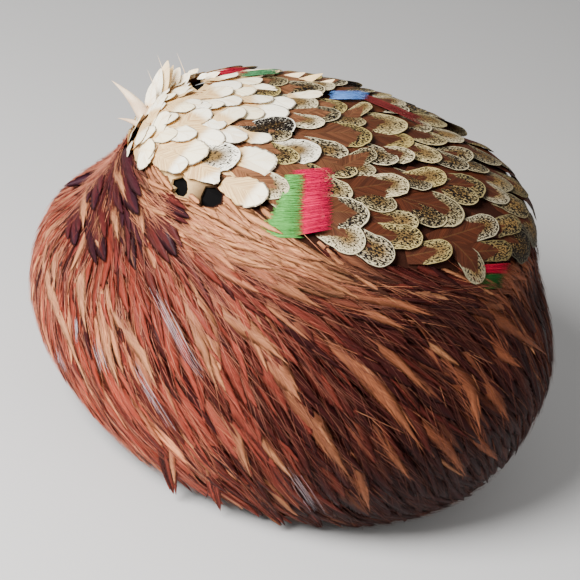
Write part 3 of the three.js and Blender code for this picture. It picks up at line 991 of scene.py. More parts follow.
def cream_material(colours):
    """Pale feathers: tan at the root, cream white at the tip, with a thin dark outline of painted shadow at
    the tip's edge.
    """
    made, build, shader = new_material("Cream plumage")
    read = vane_readings(build)
    barbs = barb_lines(build, read, slant=1.3, lines_a_metre=1500.0)
    tan = build.mix(barbs["Lines"], (*colours.tan_shade, 1), (*colours.tan, 1))
    start = build.plus(build.times(read["Tone"], WHITE_VARIES), WHITE_START)
    near_tip = build.step(read["From tip"], start, build.minus(start, WHITE_FADE))
    whitened = build.times(near_tip, build.step(barbs["Streaks"], *WHITE_STREAKS))
    colour = build.mix(whitened, tan, read["Hue"])
    # Painted shadow: a thin dark outline along the tip's edge, ragged by the streaks
    outline = build.step(vane_edge(build, read), *CREAM_EDGE_SHADOW)
    outline = build.times(outline, build.step(read["From tip"], *CREAM_EDGE_SHADOW_END))
    ragged = build.times(outline, build.step(barbs["Streaks"], *CREAM_EDGE_SHADOW_STREAKS))
    colour = build.mix(build.times(ragged, EDGE_SHADOW_SHARE), colour, (*colours.outline, 1))
    colour = build.mix(build.times(barbs["Shaft"], CREAM_SHAFT), colour, (*colours.tan, 1))
    build.plug(shader.inputs["Base Color"], colour)
    finish_surface(build, shader, barbs["Lines"], roughness=0.5, gloss=0.05, bump=0.25)
    return made


# Flecks: their seed, the density at which nothing is added, how strongly density counts, and the noise
# values between which a fleck ends
FLECK_SEED = 91.0
USUAL_DENSITY = 0.40
DENSITY_GAIN = 0.12
FLECK_STEP = (0.48, 0.53)


def fill_flecks(build, given):
    """Flecks drawn out along the vane, as many as its density says: 0 on a fleck and 1 beside it."""
    side = build.times(build.times(given["Across"], given["Half width"]), given["Across a metre"])
    along = build.times(given["From tip"], given["Along a metre"])
    seed = build.times(given["Tone"], FLECK_SEED)
    grain = build.noise(build.vector(side, along, seed), 1.0, 2.0, 0.6)
    lean = build.times(build.minus(USUAL_DENSITY, given["Density"]), DENSITY_GAIN)
    return {"Plain": build.step(build.plus(grain, lean), *FLECK_STEP)}


CENTRE_RAGGED = 0.9
CENTRE_STEP = (0.06, -0.10)


def fill_dark_centre(build, given):
    """0 in a wedge that starts some way from the tip and widens to the whole vane, and 1 outside it."""
    reach = build.plus(build.times(given["Tone"], given["Reach"]), given["Shortest"])
    past = build.math("DIVIDE", build.minus(given["From tip"], reach), given["Slope"])
    ragged = build.plus(past, build.times(build.minus(given["Wander"], 0.5), CENTRE_RAGGED))
    return {"Outside": build.step(build.minus(ragged, given["Across"]), *CENTRE_STEP)}


# Speckled plumage: its wander's seed and pace, the shares of barbs and streaks in the centre, the shares of
# the vane's edge where the warm border, the pale rim and the dark outline lie, and the outline's end in
# metres.
# The dark outline is painted shadow at the tip's edge
WANDER_SEED = 31.0
WANDER_PACE = 2.5
CENTRE_BARBS = 0.45
CENTRE_LEAST = 0.35
CENTRE_STREAKS = 0.5
WARM_BORDER = (0.2, 0.9)
PALE_RIM = (0.90, 0.95)
SPECKLED_EDGE_SHADOW = (0.965, 0.99)
SPECKLED_EDGE_SHADOW_END = (0.0200, 0.0170)
CENTRE_SHAFT = (0.4, 1.0)
CENTRE_SHAFT_SHARE = 0.15


def speckled_material(colours):
    """Chestnut feathers with a black-flecked pale border inside a pale rim."""
    made, build, shader = new_material("Speckled plumage")
    read = vane_readings(build)
    barbs = barb_lines(build, read, slant=1.3, lines_a_metre=1300.0)
    edge = vane_edge(build, read)
    inputs = {"Across": 0, "Half width": 0, "From tip": 0, "Tone": 0, "Density": 0.5}
    inputs.update({"Across a metre": 1900.0, "Along a metre": 850.0})
    values = {**picked(read, "Across", "Half width", "From tip", "Tone"), "Density": read["Streak"]}
    plain = place_group(build, "Flecks", inputs, ("Plain",), fill_flecks, values)["Plain"]
    seed = build.times(read["Tone"], WANDER_SEED)
    side = build.math("ABSOLUTE", read["Across"])
    wander = build.noise(build.vector(build.times(side, WANDER_PACE), seed, seed), 1.0, 2.0)
    inputs = {"Across": 0, "From tip": 0, "Tone": 0, "Wander": 0.5}
    inputs.update({"Shortest": 0.0035, "Reach": 0.011, "Slope": 0.010})
    values = {**picked(read, "From tip", "Tone"), "Across": side, "Wander": wander}
    border = place_group(build, "Dark centre", inputs, ("Outside",), fill_dark_centre, values)["Outside"]
    lit = build.plus(build.times(barbs["Lines"], CENTRE_BARBS), CENTRE_LEAST)
    centre = build.mix(lit, (*colours.chestnut_shade, 1), read["Core"])
    centre = build.mix(build.times(barbs["Streaks"], CENTRE_STREAKS), centre, (*colours.chestnut_shade, 1))
    warm = build.mix(build.step(edge, *WARM_BORDER), (*colours.amber, 1), read["Hue"])
    colour = build.mix(border, centre, build.mix(plain, (*colours.fleck, 1), warm))
    colour = build.mix(build.times(build.step(edge, *PALE_RIM), border), colour, read["Hue"])
    # Painted shadow: a thin dark outline in the fleck colour along the tip's edge
    near_tip = build.step(read["From tip"], *SPECKLED_EDGE_SHADOW_END)
    outline = build.times(build.step(edge, *SPECKLED_EDGE_SHADOW), near_tip)
    colour = build.mix(build.times(outline, EDGE_SHADOW_SHARE), colour, (*colours.fleck, 1))
    shaft = build.times(build.step(barbs["Shaft"], *CENTRE_SHAFT), CENTRE_SHAFT_SHARE)
    colour = build.mix(shaft, colour, (*colours.amber, 1))
    build.plug(shader.inputs["Base Color"], colour)
    finish_surface(build, shader, barbs["Lines"], roughness=0.46, gloss=0.05, bump=0.4)
    return made


# Fibres: how much finer the nap is than the patches, and the share of each in the colour
NAP_PACE = 12
PATCHES_SHARE = 0.6
NAP_SHARE = 0.4


def fibre_material(name, shade, light, roughness, patches_a_metre):
    """Felt or ivory quill: two colours mottled together, with a fine nap."""
    made, build, shader = new_material(name)
    nap = build.noise(build.place(), patches_a_metre * NAP_PACE, 4.0, 0.7)
    patches = build.times(mottle(build, patches_a_metre), PATCHES_SHARE)
    share = build.plus(patches, build.times(nap, NAP_SHARE))
    build.plug(shader.inputs["Base Color"], build.mix(share, (*shade, 1), (*light, 1)))
    finish_surface(build, shader, nap, roughness, gloss=0.0, bump=0.5)
    return made


POLE_SOFT = 0.8
BORDER_SOFT = 0.004


def fill_near_pole(build, given):
    """1 around the pole, above the hackles, and 0 elsewhere."""
    place = build.place()
    away = build.node("ShaderNodeVectorMath", [place, tuple(POLE)], operation="DISTANCE").outputs["Value"]
    x, y, z = build.node("ShaderNodeSeparateXYZ", [place]).outputs
    radius = build.math("SQRT", build.plus(build.times(x, x), build.times(y, y)))
    rise = build.times(build.math("DIVIDE", build.math("ABSOLUTE", y), radius), BORDER_RISE)
    above = build.minus(build.minus(z, BORDER_LOW), rise)
    near = build.step(away, given["Reach"], build.times(given["Reach"], POLE_SOFT))
    return {"Near": build.times(near, build.step(above, -BORDER_SOFT, BORDER_SOFT))}


DOWN_FIBRES_A_METRE = 700.0
DOWN_SHADE = 0.4


def down_material(colours):
    """Down that is dark under the hackles, as painted shade between the feathers, and pale under the pale
    feathers.
    """
    made, build, shader = new_material("Down")
    nap = build.noise(build.place(), DOWN_FIBRES_A_METRE, 4.0, 0.7)
    near = place_group(build, "Near the pole", {"Reach": CREAM_REACH}, ("Near",), fill_near_pole, {})["Near"]
    dark = build.mix(nap, (*shaded(colours.down, DOWN_SHADE), 1), (*colours.down, 1))
    pale = build.mix(nap, (*colours.tan_shade, 1), (*colours.tan, 1))
    build.plug(shader.inputs["Base Color"], build.mix(near, dark, pale))
    finish_surface(build, shader, nap, roughness=0.8, gloss=0.0, bump=0.5)
    return made


VANE_EDGE_ANGLE = math.radians(75)
VANE_INPUTS = {"Camber": 0.2, "Ridge": 0.02, "Thickness": 0.06, "Ragged": 0.08}


def vane_tree():
    """Guide edges become cambered, closed vanes, and each vane stores its place across."""
    name = "Feather vanes"
    if name in bpy.data.node_groups:
        return bpy.data.node_groups[name]
    tree = bpy.data.node_groups.new(name, "GeometryNodeTree")
    new = tree.interface.new_socket
    new("Geometry", in_out="INPUT", socket_type="NodeSocketGeometry")
    for label, default in VANE_INPUTS.items():
        new(label, in_out="INPUT", socket_type="NodeSocketFloat").default_value = default
    new("Seed", in_out="INPUT", socket_type="NodeSocketInt").default_value = SEED
    new("Material", in_out="INPUT", socket_type="NodeSocketMaterial")
    new("Geometry", in_out="OUTPUT", socket_type="NodeSocketGeometry")
    build = Builder(tree)
    given = build.node("NodeGroupInput").outputs
    curve = build.node("GeometryNodeMeshToCurve", [given["Geometry"]]).outputs[0]
    lie = build.node("GeometryNodeInputNamedAttribute", data_type="FLOAT_VECTOR")
    lie.inputs["Name"].default_value = "lie"
    turned = build.node("GeometryNodeSetCurveNormal", mode="FREE")
    build.plug(turned.inputs["Curve"], curve)
    build.plug(turned.inputs["Normal"], lie.outputs["Attribute"])
    width = build.node("GeometryNodeInputNamedAttribute", data_type="FLOAT")
    width.inputs["Name"].default_value = "half_width"
    chance = build.node("FunctionNodeRandomValue", data_type="FLOAT")
    numbers = [socket for socket in chance.inputs if socket.type == "VALUE"]
    build.plug(numbers[0], build.minus(1.0, given["Ragged"]))
    build.plug(numbers[1], build.plus(1.0, given["Ragged"]))
    build.plug(chance.inputs["Seed"], given["Seed"])
    uneven = next(socket for socket in chance.outputs if socket.type == "VALUE")
    scale = build.times(width.outputs["Attribute"], uneven)
    low = build.times(given["Camber"], -1.0)
    under = build.minus(given["Ridge"], given["Thickness"])
    section = build.node("GeometryNodeCurvePrimitiveQuadrilateral", mode="POINTS")
    corners = [socket for socket in section.inputs if socket.type == "VECTOR"]
    for socket, (lift, side) in zip(corners, ((given["Ridge"], 0), (low, 1), (under, 0), (low, -1))):
        build.plug(socket, build.vector(lift, side, 0))
    place = build.node("GeometryNodeInputPosition").outputs[0]
    across = build.node("ShaderNodeSeparateXYZ", [place]).outputs["Y"]
    stored = build.node("GeometryNodeStoreNamedAttribute", data_type="FLOAT", domain="POINT")
    for label, value in {"Geometry": section.outputs[0], "Name": "across", "Value": across}.items():
        build.plug(next(s for s in stored.inputs if s.name == label and s.enabled), value)
    values = {"Curve": turned.outputs[0], "Profile Curve": stored.outputs[0]}
    values.update({"Scale": scale, "Fill Caps": True})
    vanes = build.node("GeometryNodeCurveToMesh", values).outputs[0]
    real = build.node("GeometryNodeRealizeInstances", [vanes]).outputs[0]
    done = build.node("GeometryNodeSetMaterial", {"Geometry": real, "Material": given["Material"]}).outputs[0]
    build.plug(build.node("NodeGroupOutput").inputs[0], done)
    return tree


def make_vanes(guides, material, crisp=False, **changed):
    """Runs the vane tree on the guides, and gives the plain mesh object. Crisp vanes have sharp edges."""
    made = guides.object()
    tree = vane_tree()
    modifier = made.modifiers.new("Vanes", "NODES")
    modifier.node_group = tree
    given = {**VANE_INPUTS, **{label.capitalize(): value for label, value in changed.items()}}
    given.update({"Seed": SEED, "Material": material})
    for item in tree.interface.items_tree:
        if item.in_out == "INPUT" and item.name in given:
            modifier[item.identifier] = given[item.name]
    graph = bpy.context.evaluated_depsgraph_get()
    mesh = bpy.data.meshes.new_from_object(made.evaluated_get(graph))
    guide_mesh = made.data
    made.modifiers.clear()
    made.data = mesh
    bpy.data.meshes.remove(guide_mesh)
    mesh.name = guides.name
    for vertex in mesh.vertices:
        vertex.co.z = max(vertex.co.z, LEAST_HEIGHT)
    mesh.shade_smooth()
    if crisp:
        mesh.set_sharp_from_angle(angle=VANE_EDGE_ANGLE)
    return made


def settle(made, slot, *nodes):
    """Hands a finished piece over: its body and the nodes it stands for, which it hides. The slot is not
    used.
    """
    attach(made, BODY)
    if nodes:
        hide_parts(*nodes)


def colour_property(label, description, default):
    return bpy.props.FloatVectorProperty(
        name=label, description=description, default=default, subtype="COLOR", size=3, min=0, max=1
    )


def length_property(label, description, default):
    return bpy.props.FloatProperty(
        name=label, description=description, default=default, min=0, subtype="DISTANCE", unit="LENGTH",
        precision=4,
    )


class FeatherHatSizes(bpy.types.PropertyGroup):
    """Sizes of the feathers."""

    hackle_spacing: length_property("Hackle spacing", "Least distance between hackle tips", 0.0108)
    hackle_length: length_property("Hackle length", "Length of a hackle low on the hat", 0.068)
    hackle_width: length_property("Hackle width", "Width of a hackle", 0.0165)
    blade_spacing: length_property("Blade spacing", "Least distance between narrow hackle tips", 0.0080)
    blade_width: length_property("Blade width", "Width of a narrow hackle", 0.0066)
    strand_spacing: length_property("Strand spacing", "Least distance between loose strands", 0.0032)
    strand_length: length_property("Strand length", "Length of a loose strand", 0.024)
    strand_width: length_property("Strand width", "Width of a loose strand", 0.00022)
    crown_spacing: length_property("Crown spacing", "Least distance between crown feather tips", 0.0120)
    crown_length: length_property("Crown length", "Length of a crown feather with its hidden part", 0.040)
    crown_width: length_property("Crown width", "Width of a speckled crown feather", 0.0160)
    pole_width: length_property("Pole width", "Width of a feather at the pole", 0.0070)
    root_depth: length_property("Root depth", "Depth of a feather's root under the outline", 0.0040)
    tip_depth: length_property("Tip depth", "Depth of a feather's tip under the outline", 0.0003)
    down_depth: length_property("Down depth", "Depth of the underdown under the outline", 0.0044)
    down_thickness: length_property("Down thickness", "Thickness of the underdown", 0.0012)
    band_barb_width: length_property("Dyed barb width", "Width of a dyed barb", 0.00032)


class FeatherHatColours(bpy.types.PropertyGroup):
    """Colours of the plumage, the felt and the floor."""

    # The hackle colours hold painted light and shade: bright at the left end and much darker on the right
    hackle_left: colour_property("Hackle left", "Hackles at the bright left end", (0.178, 0.0265, 0.0145))
    hackle_middle: colour_property("Hackle middle", "Hackles in the middle", (0.212, 0.041, 0.027))
    hackle_right_shaded: colour_property("Hackle right", "Hackles low on the right", (0.050, 0.0088, 0.0064))
    hackle_peach: colour_property("Hackle peach", "Hackles under the crown in front", (0.60, 0.280, 0.130))
    # Partly painted shade: more hackles take this maroon on the right and low down
    hackle_maroon: colour_property("Hackle maroon", "The darkest hackles", (0.018, 0.0030, 0.0034))
    hackle_purple: colour_property("Hackle purple", "Broad feathers under the pole", (0.030, 0.008, 0.015))
    # Painted shade: the tan streaks are much darker at the right end, where less light falls
    tan_left: colour_property("Tan left", "Tan streaks at the left end", (0.50, 0.230, 0.115))
    tan_right: colour_property("Tan right", "Tan streaks at the right end", (0.230, 0.076, 0.035))
    strand: colour_property("Strand", "Loose strands", (0.56, 0.25, 0.165))
    # Painted highlight: the white strands that stand for silky glints
    shine: colour_property("Shine", "White silky tufts", (0.80, 0.78, 0.88))
    cream: colour_property("Cream", "Tips of the cream feathers", (1.0, 0.94, 0.78))
    straw: colour_property("Straw", "Tips of the yellower cream feathers", (1.0, 0.84, 0.50))
    tan: colour_property("Tan", "Roots of the cream feathers", (0.80, 0.56, 0.27))
    tan_shade: colour_property("Tan shade", "Shaded roots of the cream feathers", (0.48, 0.28, 0.125))
    # Painted shadow: the thin dark outline at the tips of the cream feathers
    outline: colour_property("Outline", "Thin outline of the cream feathers", (0.075, 0.046, 0.030))
    # Painted sheen: the grey where the crown's right end turns away
    grey_sheen: colour_property("Grey", "Border of the speckled feathers at the right end", (0.20, 0.165, 0.120))
    speckle: colour_property("Speckle", "Pale border of the speckled feathers", (0.50, 0.375, 0.125))
    amber: colour_property("Amber", "Inner border of the speckled feathers", (0.160, 0.095, 0.032))
    rust: colour_property("Rust", "Centre of those beside the pale feathers", (0.30, 0.125, 0.055))
    chestnut: colour_property("Chestnut", "Centre of the speckled feathers", (0.078, 0.0205, 0.0086))
    chestnut_shade: colour_property("Chestnut shade", "Shade in the same centre", (0.018, 0.0060, 0.0035))
    # Also the colour of the painted shadow along the speckled feathers' tip edges
    fleck: colour_property("Fleck", "Flecks of the speckled feathers", (0.006, 0.004, 0.003))
    green: colour_property("Green", "Green dyed barbs", (0.12, 0.46, 0.10))
    top_green: colour_property("Top green", "Faded green dyed barbs at the top", (0.07, 0.26, 0.11))
    deep_green: colour_property("Deep green", "Green dyed barbs at the right", (0.015, 0.08, 0.018))
    pink: colour_property("Pink", "Pink dyed barbs", (0.66, 0.003, 0.085))
    red: colour_property("Red", "Red dyed barbs", (0.33, 0.008, 0.030))
    dull_red: colour_property("Dull red", "Faded red dyed barbs", (0.105, 0.016, 0.016))
    blue: colour_property("Blue", "Blue dyed barbs", (0.11, 0.28, 0.72))
    ivory: colour_property("Ivory", "Bare quills", (0.85, 0.68, 0.48))
    ivory_shade: colour_property("Ivory shade", "Shaded bare quills", (0.55, 0.36, 0.22))
    # Painted shade: the dark down stands for the shade between the feathers
    down: colour_property("Down", "Underdown", (0.030, 0.009, 0.005))
    felt: colour_property("Felt", "Felt foundation", (0.0015, 0.0013, 0.0013))
    floor: colour_property("Floor", "Floor under the hat", (0.52, 0.51, 0.50))


class FeatherHatStage(bpy.types.PropertyGroup):
    """Strength of the lights and size of the floor."""

    key_power: bpy.props.FloatProperty(name="Key light", description="Power of the main light", default=29)
    fill_power: bpy.props.FloatProperty(name="Fill light", description="Power of the fill light", default=2.0)
    sky: bpy.props.FloatProperty(name="Sky", description="Strength of the even light all round", default=0.40)
    floor_width: length_property("Floor width", "Side of the square floor", 6.0)


def camera_matrix():
    turn = Matrix((VIEW_RIGHT, VIEW_UP, BACK)).transposed().to_4x4()
    return Matrix.Translation(CAMERA_PLACE) @ turn


def add_area_light(name, place, size, power):
    light = bpy.data.lights.new(name, "AREA")
    light.shape = "DISK"
    light.size = size
    light.energy = power
    made = bpy.data.objects.new(name, light)
    made.location = place
    made.rotation_mode = "QUATERNION"
    made.rotation_quaternion = (VIEW_TARGET - Vector(place)).to_track_quat("-Z", "Y")
    bpy.context.scene.collection.objects.link(made)


class FEATHER_HAT_OT_stage(bpy.types.Operator):
    """Sets up the floor, the camera and the lights"""

    bl_idname = "feather_hat.stage"
    bl_label = "Stage"

    KEY_PLACE = (-0.46, -0.52, 0.70)
    KEY_WIDTH = 0.45
    FILL_PLACE = (0.8, -0.5, 0.5)
    FILL_WIDTH = 0.8
    FLOOR_ROUGHNESS = 0.9

    def execute(self, context):
        settings = context.scene.feather_hat_stage
        colours = context.scene.feather_hat_colours
        side = settings.floor_width / 2
        mesh = bpy.data.meshes.new("Floor")
        corners = [(-side, -side, 0), (side, -side, 0), (side, side, 0), (-side, side, 0)]
        mesh.from_pydata(corners, [], [(0, 1, 2, 3)])
        floor = bpy.data.objects.new("Floor", mesh)
        context.scene.collection.objects.link(floor)
        material, _, shader = new_material("Floor")
        shader.inputs["Base Color"].default_value = (*colours.floor, 1)
        shader.inputs["Roughness"].default_value = self.FLOOR_ROUGHNESS
        mesh.materials.append(material)

        camera_data = bpy.data.cameras.new("Camera")
        camera_data.sensor_width = SENSOR_MM
        camera_data.lens = SENSOR_MM * VIEW_DISTANCE / FRAME_WIDTH
        camera = bpy.data.objects.new("Camera", camera_data)
        camera.matrix_world = camera_matrix()
        context.scene.collection.objects.link(camera)
        context.scene.camera = camera

        add_area_light("Key", self.KEY_PLACE, self.KEY_WIDTH, settings.key_power)
        add_area_light("Fill", self.FILL_PLACE, self.FILL_WIDTH, settings.fill_power)
        world = bpy.data.worlds.new("World")
        world.use_nodes = True
        world.node_tree.nodes["Background"].inputs["Color"].default_value = (1, 1, 1, 1)
        world.node_tree.nodes["Background"].inputs["Strength"].default_value = settings.sky
        context.scene.world = world
        return {"FINISHED"}


class FEATHER_HAT_OT_foundation(bpy.types.Operator):
    """Gives the felt foundation its near-black finish"""

    bl_idname = "feather_hat.foundation"
    bl_label = "Foundation"

    LIGHT_GAIN = 1.6

    def execute(self, context):
        felt = context.scene.feather_hat_colours.felt
        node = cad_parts["foundation"]
        light = shaded(felt, self.LIGHT_GAIN)
        material = fibre_material("Felt", felt, light, roughness=0.8, patches_a_metre=50.0)
        node.data.materials.clear()
        node.data.materials.append(material)
        return {"FINISHED"}


def cut_gaps(work):
    """Cuts the worn gaps out of an open sheet, by planes that pass through the camera."""

    def near_faces(middle):
        return [face for face in work.faces if (face.calc_center_median() - middle).length < GAP_CUT_REACH]

    for outline in GAP_OUTLINES:
        middle_pixel = [sum(values) / len(outline) for values in zip(*outline)]
        middle = surface.at_pixel(middle_pixel)[0]
        inward = pixel_ray(middle_pixel)
        planes = []
        for first, second in zip(outline, outline[1:] + outline[:1]):
            normal = pixel_ray(first).cross(pixel_ray(second)).normalized()
            planes.append(-normal if normal.dot(inward) > 0 else normal)
        for normal in planes:
            near = near_faces(middle)
            parts = list({item for face in near for item in (*face.verts, *face.edges, face)})
            bmesh.ops.bisect_plane(work, geom=parts, plane_co=CAMERA_PLACE, plane_no=normal)
        inside = [
            face for face in near_faces(middle)
            if all((face.calc_center_median() - CAMERA_PLACE).dot(normal) < 0 for normal in planes)
        ]
        bmesh.ops.delete(work, geom=inside, context="FACES")


class FEATHER_HAT_OT_underdown(bpy.types.Operator):
    """Lays down under the feathers, pale near the pole and dark elsewhere as painted shade, and cuts out the
    worn gaps
    """

    bl_idname = "feather_hat.underdown"
    bl_label = "Underdown"

    COLUMNS = 120
    ROWS = 44
    LOWEST = -46.0
    LEAST_POINT_HEIGHT = 0.002

    def execute(self, context):
        sizes = context.scene.feather_hat_sizes
        colours = context.scene.feather_hat_colours
        work = bmesh.new()
        rings = []
        for row in range(self.ROWS):
            height = math.radians(self.LOWEST + (90 - self.LOWEST) * row / self.ROWS)
            ring = []
            for column in range(self.COLUMNS):
                angle = 2 * math.pi * column / self.COLUMNS
                aim = Vector((math.cos(angle), math.sin(angle), 0)) * math.cos(height)
                aim.z = math.sin(height)
                met = surface.towards(FAN_CENTRE + aim)
                point = met[0] - met[1] * sizes.down_depth if met else None
                ring.append(work.verts.new(point) if met and point.z > self.LEAST_POINT_HEIGHT else None)
            rings.append(ring)
        top_place, top_normal = surface.towards(FAN_CENTRE + Vector((0, 0, 1)))
        top = work.verts.new(top_place - top_normal * sizes.down_depth)
        for low, high in zip(rings, rings[1:]):
            for k in range(self.COLUMNS):
                after = (k + 1) % self.COLUMNS
                corners = (low[k], low[after], high[after], high[k])
                if all(corners):
                    work.faces.new(corners)
        for k in range(self.COLUMNS):
            work.faces.new((rings[-1][k], rings[-1][(k + 1) % self.COLUMNS], top))
        cut_gaps(work)
        loose = [vertex for vertex in work.verts if not vertex.link_faces]
        bmesh.ops.delete(work, geom=loose, context="VERTS")
        mesh = bpy.data.meshes.new("Underdown")
        work.to_mesh(mesh)
        work.free()
        made = bpy.data.objects.new("underdown", mesh)
        context.scene.collection.objects.link(made)
        solidify = made.modifiers.new("Thickness", "SOLIDIFY")
        solidify.thickness = sizes.down_thickness
        solidify.offset = -1
        graph = context.evaluated_depsgraph_get()
        thick = bpy.data.meshes.new_from_object(made.evaluated_get(graph))
        made.modifiers.clear()
        made.data = thick
        bpy.data.meshes.remove(mesh)
        thick.name = "Underdown"
        thick.materials.append(down_material(colours))
        settle(made, "hackle_plumage")
        return {"FINISHED"}


# Shares that mix a hackle's colour, and the spread of its shade. The maroon share is partly the hackles' own
# maroon and partly painted shade: it stands for shadows between feathers and grows on the right and low down
MAROON_AND_SHADE = {"share": 0.33, "right": 0.30, "low": 0.30, "depth": (0.65, 1)}
MAROON_FROM_RIGHT = (0.40, 1.0)
PEACH = {"share": 0.15, "depth": (0.3, 0.7), "under_crown": 0.9}
PURPLE_DEPTH = (0.6, 1)
RUST_DEPTH = 0.8
HACKLE_SHADE = (0.75, 1.25)
TAN_SHADE = (0.8, 1.1)
# Painted light low at the left end, for hackles and tan streaks
PAINTED_LIGHT_LOW = 0.9
TAN_PAINTED_LIGHT_LOW = 0.3
LEAST_SCALE = 0.55
SHORTER_NEAR_CROWN = 0.45


def hackle_hue(place, chance, colours):
    """A hackle's colour, from where it lies: mostly either maroon or rust, with painted shade towards the
    right and painted light low at the left end.
    """
    right = zone("right", place)
    if right < 0.5:
        hue = blend(colours.hackle_left, colours.hackle_middle, right * 2)
    else:
        hue = blend(colours.hackle_middle, colours.hackle_right_shaded, right * 2 - 1)
    # Painted shade: the maroon share grows towards the right and low on the right
    maroon = MAROON_AND_SHADE["share"] + MAROON_AND_SHADE["right"] * smooth(*MAROON_FROM_RIGHT, right)
    if chance.random() < maroon + MAROON_AND_SHADE["low"] * zone("low_right", place):
        hue = blend(hue, colours.hackle_maroon, chance.uniform(*MAROON_AND_SHADE["depth"]))
    elif chance.random() < PEACH["share"]:
        hue = blend(hue, colours.hackle_peach, chance.uniform(*PEACH["depth"]))
    hue = blend(hue, colours.hackle_purple, purple_share(place) * chance.uniform(*PURPLE_DEPTH))
    peach = smooth(*PEACH_UNDER_CROWN, below_border(place)) * zone("peach", place)
    hue = blend(hue, colours.hackle_peach, peach * PEACH["under_crown"])
    hue = blend(hue, colours.tan_right, smooth(*RUST_REACH, (place - RUST_PATCH).length) * RUST_DEPTH)
    return shaded(hue, chance.uniform(*HACKLE_SHADE) * painted_light_low(place))


def purple_share(place):
    """1 in the purple patch under the pole, and 0 away from it."""
    return smooth(*PURPLE_REACH, (place - PURPLE_PATCH).length)


def painted_light_low(place):
    """Painted light: hackles are paler towards the rim at the left end, standing in for light that falls
    there.
    """
    return 1 + PAINTED_LIGHT_LOW * zone("painted_light_low_left", place)


# Tan streaks are lighter at the left and darker at the right, as painted light and shade
def tan_hue(place, chance, colours):
    shade = chance.uniform(*TAN_SHADE) * (1 + TAN_PAINTED_LIGHT_LOW * (painted_light_low(place) - 1))
    return shaded(blend(colours.tan_left, colours.tan_right, zone("tan_right", place)), shade)


def barbs_over(place):
    """How far the peach barbs reach up over the crown's edge, in front near the pole."""
    return BARBS_OVER * zone("barbs_over", place)


def under_crown(place):
    """How much deeper a hackle lies where it runs in under the crown feathers."""
    return CROWN_COVER * smooth(*COVERED, -below_border(place) - barbs_over(place))


def on_side(place):
    return below_border(place) > SIDE_START - barbs_over(place)


def on_crown(place):
    return below_border(place) < -CROWN_START - barbs_over(place)


def hackle_scale(place):
    """Hackles are shorter and narrower near the pole, and where they meet the crown in front."""
    near_crown = smooth(*SHORT_UNDER_CROWN, below_border(place)) * zone("front", place)
    from_least = LEAST_SCALE + (1 - LEAST_SCALE) * smooth(*HACKLES_FROM_POLE, from_pole(place))
    return from_least * (1 - SHORTER_NEAR_CROWN * near_crown)


def scaled(spacing):
    """Hackles stand closer where they are shorter."""
    return lambda place: spacing * hackle_scale(place)


PURPLE_PATCH = surface.at_pixel((122, 205))[0]
RUST_PATCH = surface.at_pixel((522, 284))[0]


